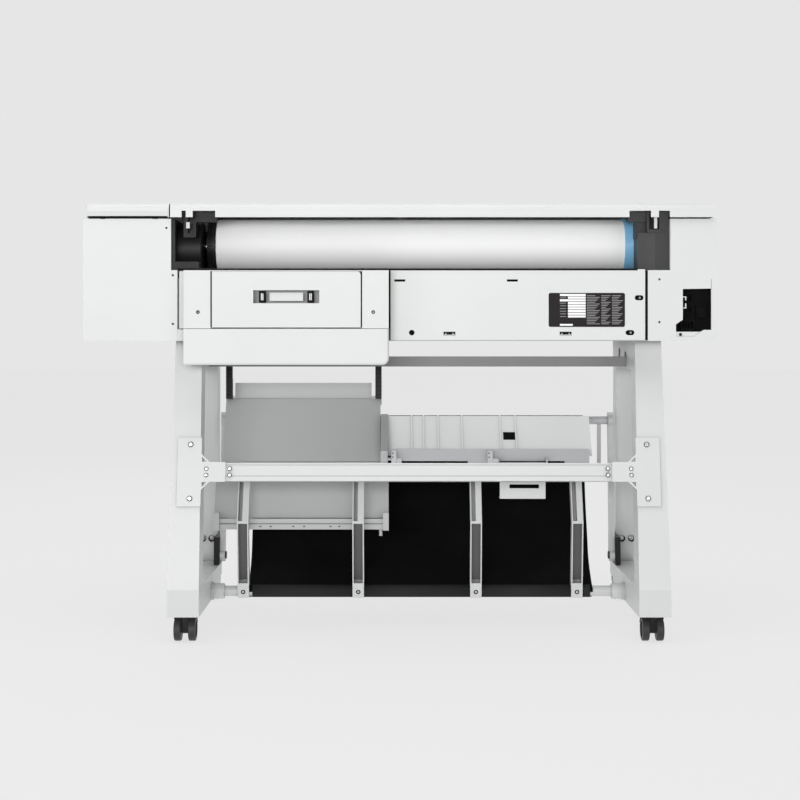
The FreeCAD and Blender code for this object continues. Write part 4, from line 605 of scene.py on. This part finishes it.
def rating_plate():
    """A dark sticker with blank white cells and plain ruled rows."""
    low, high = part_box("rear_panel")
    left = high.x - LABEL_INSET
    bottom = low.z + LABEL_RISE
    face = high.y
    base = Shape()
    base.plate(rounded((left - LABEL_WIDTH, bottom), (left, bottom + LABEL_HEIGHT), 0.004), face, LABEL_THICK)
    flat_piece("rating_plate", base, "label_dark")
    cells = Shape()
    wide, narrow, end = (left - edge for edge in CELL_EDGES)
    for row in range(CELL_ROWS):
        top = bottom + LABEL_HEIGHT - LABEL_MARGIN - row * CELL_PITCH
        start = wide if row in WIDE_CELLS else narrow
        cells.box((end, face + INK_BASE, top - CELL_PITCH * CELL_FILL), (start, face + CELL_TOP, top))
    cells.box((wide - LOW_CELL_WIDTH, face + INK_BASE, bottom + LOW_CELL[0]),
              (wide, face + CELL_TOP, bottom + LOW_CELL[1]))
    flat_piece("rating_cells", cells, "label_white")
    lines = Shape()
    for row in range(RULE_ROWS):
        z = bottom + RULES_START + row * RULE_PITCH
        for number, (share, reach) in enumerate(RULE_BLOCKS):
            cut = 0.02 * ((row * 7 + number * 5) % 4)
            start = left - LABEL_WIDTH * share
            end = start - LABEL_WIDTH * (reach - cut)
            lines.box((end, face + INK_BASE, z), (start, face + RULE_TOP, z + RULE_HEIGHT))
    for row in RULED_CELLS:
        z = bottom + LABEL_HEIGHT - LABEL_MARGIN - row * CELL_PITCH - CELL_PITCH * 0.55
        lines.box((narrow + 0.004, face + INK_BASE, z), (wide, face + RULE_TOP, z + 0.0012))
    flat_piece("rating_rules", lines, "label_grey")


# ------------------------------------------------------------------ fasteners
REARWARD = (0, 1, 0)
# A head is its radius and its height.
COVER_HEAD = (0.0022, 0.0012)
COVER_SINK = 0.0016
LEFT_COVER_SCREWS = ((0.5085, 0.899), (0.4945, 0.796), (0.4945, 0.690))
RIGHT_COVER_INSET = 0.0255
RIGHT_COVER_HEIGHTS = (0.787, 0.694)
ACCESS_HEAD = (0.0026, 0.0011)
ACCESS_SINK = 0.0012
ACCESS_SCREWS = ((0.4365, 0.716), (0.0545, 0.716))
HOUSING_HEAD = (0.0020, 0.0008)
HOUSING_SCREWS = ((0.4345, 0.715), (0.0575, 0.715))
HOUSING_RING_SINK = 0.0018
HOUSING_RING = ((0, 0.0040), (0.0017, 0.0040), (0.0019, 0.0034), (0.0008, 0.0030), (0.0008, 0.0))
# Each column bolt's place across, and how far the dark disc of painted shadow under it sits to one side.
COLUMN_BOLTS = ((0.479, 0.002), (0.4575, 0.002), (-0.5395, -0.002), (-0.5625, -0.002))
COLUMN_BOLT = (-0.1260, 0.1730)
COLUMN_HEAD = (0.0058, 0.0046)
COLUMN_SHADOW_DISC = ((0, 0.0078), (0.0008, 0.0076), (0.0008, 0.0))
STRUT_X = (0.3585, 0.0955, -0.1735, -0.4045)
STRUT_SCREW = (0.1004, 0.0790)
STRUT_HEAD = (0.0030, 0.0022)
STRUT_WASHER = ((0, 0.0052), (0.0007, 0.0050), (0.0007, 0.0))
DISC_SINK = 0.0002


def screw_head(shape, place, axis, radius, height):
    """A pan head with a round drive recess."""
    profile = [(0, radius), (height * 0.45, radius), (height * 0.8, radius * 0.82), (height, radius * 0.5),
               (height, radius * 0.42), (height * 0.45, radius * 0.36), (height * 0.45, 0.0)]
    shape.lathe(place, axis, profile, HEAD_STEPS)


def rear_screws(shape, spots, y, head):
    """Screws that face the rear in one plane, at their places across and up."""
    for x, z in spots:
        screw_head(shape, (x, y, z), REARWARD, *head)


def cover_screws():
    """Small screws in the counterbores of the covers."""
    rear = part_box("rear_panel")[1].y
    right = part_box("right_end_cover")[1].x - RIGHT_COVER_INSET
    heads = Shape()
    rear_screws(heads, LEFT_COVER_SCREWS, rear - COVER_SINK, COVER_HEAD)
    rear_screws(heads, [(right, z) for z in RIGHT_COVER_HEIGHTS], rear - COVER_SINK, COVER_HEAD)
    rear_screws(heads, ACCESS_SCREWS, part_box("access_housing")[1].y - ACCESS_SINK, ACCESS_HEAD)
    round_piece("cover_screws", heads, "dark_steel")


def housing_screws():
    """The two bright screws of the access housing, each in a dark round recess."""
    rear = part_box("access_housing")[1].y
    rings = Shape()
    heads = Shape()
    for x, z in HOUSING_SCREWS:
        rings.lathe((x, rear - HOUSING_RING_SINK, z), REARWARD, HOUSING_RING, RING_STEPS)
    rear_screws(heads, HOUSING_SCREWS, rear - ACCESS_SINK, HOUSING_HEAD)
    round_piece("housing_screw_rings", rings, "black_plastic")
    round_piece("housing_screws", heads, "bright_steel")


def stand_fasteners():
    """Bolts in the front columns, each over a dark disc of painted shadow set off to one side and down, and a
    screw at the foot of each strut on a dark washer.
    """
    bolts = Shape()
    discs = Shape()
    y, z = COLUMN_BOLT
    for x, nudge in COLUMN_BOLTS:
        screw_head(bolts, (x, y, z), REARWARD, *COLUMN_HEAD)
        # Painted shadow: a dark disc set off to one side and down from the bolt head.
        discs.lathe((x + nudge, y - DISC_SINK, z - 0.002), REARWARD, COLUMN_SHADOW_DISC, RING_STEPS)
    y, z = STRUT_SCREW
    for x in STRUT_X:
        screw_head(bolts, (x, y, z), REARWARD, *STRUT_HEAD)
        discs.lathe((x, y - DISC_SINK, z), REARWARD, STRUT_WASHER, RING_STEPS)
    round_piece("stand_bolts", bolts, "bright_steel")
    round_piece("stand_washers_and_shadows", discs, "black_plastic")


# ------------------------------------------------------------------ the stand and the bin
STRUT_LOWER = ((0.0768, 0.1040), (0.0980, 0.2330))
STRUT_UPPER = ((0.0975, 0.2480), (0.0450, 0.3640))
# Each painted shade sheet's half width, its shift across, and the two ends of its run.
WEB_SHADES = ((0.0104, 0.0, STRUT_LOWER), (0.0016, 0.0090, STRUT_UPPER))
WEB_SHADE_THICK = 0.0012
SLEEVE_CENTRE = (0.0850, 0.0790)
SLEEVE_INNER = 0.0122
SLEEVE_OUTER = 0.0142
SLEEVE_START = 0.3380
SLEEVE_TAIL = 0.0170
STRUT_GAP = 0.0136
BRACE_LINES = ((0.2540, 0.3821), (0.2583, 0.3583))
BRACE_SPAN = (-0.4820, 0.3960)
LINE_HALF = 0.0008
BRACE_LEAN = 10.258
BRACE_PIVOT = (0.2568, 0.3670)
PLATE_THICKNESS = 0.0030
PLATE_HALF = 0.0260
# Each T-shaped plate's place across, and the way that its stem points.
BRACE_PLATES = ((0.4595, -1), (-0.5415, 1))
# Rims are an inner and an outer radius.
HEAD_SHIFT = 0.002
HEAD_LEVELS = (-0.058, 0.060)
HEAD_RIM = (0.0046, 0.0064)
STEM_REACHES = (0.011, 0.062)
STEM_LEVELS = (-0.007, 0.007)
STEM_RIM = (0.0035, 0.0050)
RIM_BASE = -0.0004
RIM_TOP = 0.0005
RIM_SLOPE = 0.0002
LEG_SLOT_X = -0.5187
LEG_SLOTS = ((-0.020, 0.612, 0.636), (0.075, 0.606, 0.628))
LEG_SLOT_HALF = 0.0035


def strut_web_shade():
    """A dark sheet of painted shade on the inner web of each channel, which faces the rear."""
    webs = Shape()
    for x in STRUT_X:
        for half, shift, ((y0, z0), (y1, z1)) in WEB_SHADES:
            run = Vector((0, y1 - y0, z1 - z0)).normalized()
            near, far = x - shift - half, x - shift + half
            corners = ((near, y0, z0), (far, y0, z0), (far, y1, z1), (near, y1, z1))
            webs.slab([Vector(corner) for corner in corners], Vector((0, run.z, -run.y)) * WEB_SHADE_THICK)
    flat_piece("strut_web_shade", webs, "channel_shade")


def sleeve_runs():
    """Where each stretch of the sleeve starts and how long it is, with a gap at each strut."""
    runs = []
    start = SLEEVE_START
    for strut in STRUT_X[1:]:
        runs.append((start, start - (strut + STRUT_GAP)))
        start = strut - STRUT_GAP
    return runs + [(start, SLEEVE_TAIL)]


def cloth_sleeve():
    """The pocket of the bin's cloth around the lower tube, open where the struts stand."""
    sleeve = Shape()
    for start, length in sleeve_runs():
        profile = [(0, SLEEVE_INNER), (0, SLEEVE_OUTER), (length, SLEEVE_OUTER), (length, SLEEVE_INNER)]
        sleeve.lathe((start, *SLEEVE_CENTRE), (-1, 0, 0), profile, SLEEVE_STEPS)
    round_piece("cloth_sleeve", sleeve, "sleeve_cloth")


def brace_lines():
    """Two drawn lines along the rear face of the cross brace."""
    grooves = Shape()
    for y, z in BRACE_LINES:
        grooves.box((BRACE_SPAN[0], y - 0.0010, z - LINE_HALF), (BRACE_SPAN[1], y + 0.0004, z + LINE_HALF))
    flat_piece("brace_lines", grooves, "seam_grey")


def screw_shade_rings():
    """A dark ring of painted shade around each screw of the brace plates."""
    rims = Shape()
    lean = math.radians(BRACE_LEAN)
    normal = Vector((0, math.cos(lean), math.sin(lean)))
    up = Vector((0, -math.sin(lean), math.cos(lean)))
    for x, inward in BRACE_PLATES:
        spots = [(x + inward * HEAD_SHIFT, level, HEAD_RIM) for level in HEAD_LEVELS]
        for reach in STEM_REACHES:
            spots += [(x + inward * (PLATE_HALF + reach), level, STEM_RIM) for level in STEM_LEVELS]
        for across, level, (inner, outer) in spots:
            spot = Vector((across, *BRACE_PIVOT)) + normal * PLATE_THICKNESS + up * level
            profile = [(RIM_BASE, outer), (RIM_TOP, outer - RIM_SLOPE), (RIM_TOP, inner), (RIM_BASE, inner)]
            rims.lathe(tuple(spot), tuple(normal), profile, RING_STEPS)
    round_piece("screw_shade_rings", rims, "shade_ring_grey")


def leg_slots():
    """Two vertical slots near the head of the right leg, on its inner side."""
    slots = Shape()
    for y, low, high in LEG_SLOTS:
        outline = rounded((y - LEG_SLOT_HALF, low), (y + LEG_SLOT_HALF, high), 0.003)
        slots.plate(outline, LEG_SLOT_X - 0.0004, 0.0012, "X")
    flat_piece("leg_slots", slots, "dark_plastic")


# ------------------------------------------------------------------ seams, slots and sockets of the covers
TIE_LOW = (-0.6135, 0.6640)
TIE_HIGH = (-0.6080, 0.6700)
SEAM_TOP = 0.806
SEAM_DEPTH = 0.006
SEAM_SHY = 0.0004
SEAM_LAP = 0.0004
SEAM_REACH = 0.0064
HOUSING_SEAM_RISE = 0.026
DOOR_SEAM = (0.0003, 0.0030)
# The painted shade strips in the door seams: how deep they reach, how far they stand proud and how far they
# stop short of the housing's top.
DOOR_SHADE_DEPTH = 0.0026
DOOR_SHADE_PROUD = 0.0003
DOOR_SHADE_DROP = 0.0020
LID_SEAM_DEPTH = 0.010
LID_SEAM_SHY = 0.0012
LID_SEAM_INSETS = (0.006, 0.004)
LID_SEAM = (0.9196, 0.9216)
RIGHT_LID_SEAM = (-0.668, -0.592)
LID_SLOTS_X = (0.6470, 0.5330)
LID_SLOT = (0.9185, 0.9228)
LID_SLOT_HALF = 0.0062
# Each tab's place across, its foot and head, and half its width.
CRADLE_TABS = ((0.4628, 0.8985, 0.9125, 0.0040), (-0.5580, 0.8985, 0.9230, 0.0034))
SOCKET_DEPTH = 0.018
SOCKET_NEAR = -0.6160
SOCKET_FAR = -0.6262
SOCKET_LIP = 0.0026
# The socket's upper and lower half: outer edge, inner edge and the end of the lip.
SOCKET_HALVES = ((0.7505, 0.7482, 0.7418), (0.7240, 0.7263, 0.7352))
BAY_INSET = 0.0165
BAY_END = 0.4835
BAY_GASKET = (0.8066, 0.8108)
HOOKS_X = (-0.1075, -0.3605)
HOOK_Z = 0.6685
HOOK_HALF = ((0.0125, -0.0042), (0.0125, -0.0012), (0.0085, -0.0012), (0.0085, 0.0022), (0.0068, 0.0022),
             (0.0068, -0.0018))
PORT_SCREWS = ((-0.5225, 0.747), (-0.5025, 0.671))
PORT_HEAD = (0.0024, 0.0012)
BACKING_X = (-0.533, 0.018)
BACKING_Z = (0.657, 0.800)


def recess_tie():
    """The dark spot on the shelf under the connector recess."""
    tie = Shape()
    tie.plate(rounded(TIE_LOW, TIE_HIGH, 0.0014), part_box("rear_panel")[1].y - 0.0012, 0.0014)
    flat_piece("recess_tie", tie, "label_dark")


def seam_shade_strips():
    """Black strips of painted shade in the open seams of the covers."""
    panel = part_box("rear_panel")
    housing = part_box("access_housing")
    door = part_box("access_door")
    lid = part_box("left_top_cover")
    rear = panel[1].y
    back, front = rear - SEAM_DEPTH, rear - SEAM_SHY
    strips = Shape()
    strips.box((panel[0].x - SEAM_REACH, back, panel[0].z), (panel[0].x + SEAM_LAP, front, SEAM_TOP))
    strips.box((panel[1].x - SEAM_LAP, back, panel[0].z + HOUSING_SEAM_RISE),
               (housing[0].x + SEAM_LAP, front, SEAM_TOP))
    for edge, side in ((door[0].x, -1), (door[1].x, 1)):
        near, far = sorted(edge + side * gap for gap in DOOR_SEAM)
        strips.box((near, door[1].y - DOOR_SHADE_DEPTH, door[0].z),
                   (far, door[1].y + DOOR_SHADE_PROUD, housing[1].z - DOOR_SHADE_DROP))
    left_lid_seam = (lid[0].x + LID_SEAM_INSETS[0], lid[1].x - LID_SEAM_INSETS[1])
    for start, end in (left_lid_seam, RIGHT_LID_SEAM):
        strips.box((start, rear - LID_SEAM_DEPTH, LID_SEAM[0]), (end, rear - LID_SEAM_SHY, LID_SEAM[1]))
    flat_piece("seam_shade_strips", strips, "deep_black")


def lid_slots():
    """Two dark vent slots in the gap under the left top cover."""
    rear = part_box("rear_panel")[1].y
    slots = Shape()
    for x in LID_SLOTS_X:
        slots.plate(rounded((x - LID_SLOT_HALF, LID_SLOT[0]), (x + LID_SLOT_HALF, LID_SLOT[1]), 0.0012),
                    rear - 0.003, 0.0036)
    flat_piece("cover_slots", slots, "deep_black")


def cradle_tabs():
    """The white paper-size tabs that stand in the slots of the two cradles."""
    tabs = Shape()
    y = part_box("drive_cradle")[1].y
    for x, low, high, half in CRADLE_TABS:
        tabs.plate(rounded((x - half, low), (x + half, high), 0.0012), y - 0.004, 0.0034)
    bevelled(flat_piece("cradle_tabs", tabs, "white_plastic"), 0.0006)


def socket_rim():
    """The pale rim of the network socket in the connector recess."""
    rim = Shape()
    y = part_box("rear_panel")[1].y - SOCKET_DEPTH
    for outer, inner, tip in SOCKET_HALVES:
        lip = SOCKET_FAR + SOCKET_LIP
        outline = [(SOCKET_NEAR, outer), (SOCKET_FAR, outer), (SOCKET_FAR, tip), (lip, tip), (lip, inner),
                   (SOCKET_NEAR, inner)]
        rim.plate(outline, y, 0.002)
    flat_piece("socket_rim", rim, "label_white")


def bay_gasket():
    """The black gasket along the lower rear edge of the roll bay."""
    low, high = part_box("rear_panel")
    lip = Shape()
    lip.box((low.x + BAY_INSET, high.y - 0.010, BAY_GASKET[0]), (BAY_END, high.y + 0.0006, BAY_GASKET[1]))
    bevelled(flat_piece("bay_gasket", lip, "deep_black"), 0.0005)


def panel_hooks():
    """The hooked tabs in the lower slots of the rear panel, and screws in its round-ended ports."""
    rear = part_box("rear_panel")[1].y
    outline = list(HOOK_HALF) + [(-across, rise) for across, rise in reversed(HOOK_HALF)]
    hooks = Shape()
    for x in HOOKS_X:
        hooks.plate([(x + across, HOOK_Z + rise) for across, rise in outline], rear - 0.0016, 0.0012)
    flat_piece("panel_hooks", hooks, "grey_sheet")
    screws = Shape()
    rear_screws(screws, PORT_SCREWS, rear - 0.004, PORT_HEAD)
    round_piece("port_screws", screws, "grey_channel")
    backing = Shape()
    backing.box((BACKING_X[0], rear - 0.0075, BACKING_Z[0]), (BACKING_X[1], rear - 0.0062, BACKING_Z[1]))
    flat_piece("panel_backing", backing, "deep_black")


# ------------------------------------------------------------------ the latches, the tray and the ramp
RIB_SPREAD = 0.0016
RIB_HALF = 0.0011
RIB_INSET = 0.005
TRAY_WINDOW = (-0.2570, 0.0128, 0.4290)
TRAY_SLOPE = (0, 63, -87)
TRAY_NORMAL = (0, 87, 63)
# The frame and the pane: half width, half length down the slope, lift, surface, slot and name.
TRAY_PANES = ((0.0185, 0.0160, 0.0012, "pale_plastic", "pale_plastic", "tray_window_frame"),
              (0.0150, 0.0105, 0.0020, "deep_black", "black_plastic", "tray_window"))
CLIPS_X = (0.0140, -0.2070)
CLIP_HALF = 0.0060
CLIP_Z = (0.3720, 0.4010)
CLIP_FOOT = (0.0180, 0.3830)
CLIP_PINS = (0.3950, 0.3860)
CLIP_PIN = ((0, 0.0016), (0.0004, 0.0015), (0.0004, 0.0))
RAIL_MARKS_X = (0.3220, 0.2980, 0.2460, 0.2210, 0.1600, 0.1400)
RAIL_MARK_Z = 0.2250
RAIL_FACE_Y = 0.0711


def latch_ribs():
    """Two pale finger ribs on each pinch latch."""
    for side in ("left", "right"):
        latch = "access_latch_" + side
        low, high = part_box(latch)
        middle = (low.x + high.x) / 2
        ribs = Shape()
        for x in (-RIB_SPREAD, RIB_SPREAD):
            foot = (middle + x - RIB_HALF, low.z + RIB_INSET)
            head = (middle + x + RIB_HALF, high.z - RIB_INSET)
            ribs.plate(rounded(foot, head, 0.0008), high.y - 0.0014, 0.0018)
        bevelled(flat_piece("finger_rib_" + side, ribs, "pale_plastic", latch), 0.0003)


def tray_details():
    """The sensor window in the tray's skin and the two clips on its rail."""
    slope = Vector(TRAY_SLOPE).normalized()
    normal = Vector(TRAY_NORMAL).normalized()
    centre = Vector(TRAY_WINDOW)
    for half_x, half_s, lift, surface, slot, name in TRAY_PANES:
        pane = Shape()
        corners = []
        for sx, ss in ((-1, -1), (1, -1), (1, 1), (-1, 1)):
            corners.append(centre + Vector((half_x * sx, 0, 0)) + slope * half_s * ss)
        pane.slab(corners, normal * lift)
        flat_piece(name, pane, surface)
    clips = Shape()
    pins = Shape()
    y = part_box("tray_rail")[1].y
    for x in CLIPS_X:
        clips.box((x - CLIP_HALF, y, CLIP_Z[0]), (x + CLIP_HALF, y + 0.0030, CLIP_Z[1]))
        clips.box((x - CLIP_HALF, y, CLIP_Z[0]), (x - CLIP_FOOT[0], y + 0.0024, CLIP_FOOT[1]))
        for z in CLIP_PINS:
            pins.lathe((x + 0.0025, y + 0.0029, z), REARWARD, CLIP_PIN, PIN_STEPS)
    bevelled(flat_piece("tray_clips", clips, "arm_paint"), 0.0006)
    flat_piece("tray_clip_pins", pins, "deep_black")


def rail_notches():
    """Small stamped notches along the ramp's rail."""
    marks = Shape()
    for x in RAIL_MARKS_X:
        marks.plate(rounded((x - 0.0022, RAIL_MARK_Z - 0.0012), (x + 0.0022, RAIL_MARK_Z + 0.0012), 0.0006),
                    RAIL_FACE_Y, 0.0004)
    flat_piece("rail_notches", marks, "dark_plastic")


# ------------------------------------------------------------------ the scene

def build_pieces():
    bin_cloth()
    rating_plate()
    cover_screws()
    housing_screws()
    stand_fasteners()
    seam_shade_strips()
    lid_slots()
    cradle_tabs()
    socket_rim()
    bay_gasket()
    strut_web_shade()
    cloth_sleeve()
    brace_lines()
    screw_shade_rings()
    recess_tie()
    latch_ribs()
    tray_details()
    rail_notches()
    panel_hooks()
    leg_slots()


camera()
stage()
MATS = make_materials()
dress_nodes(MATS)
build_pieces()
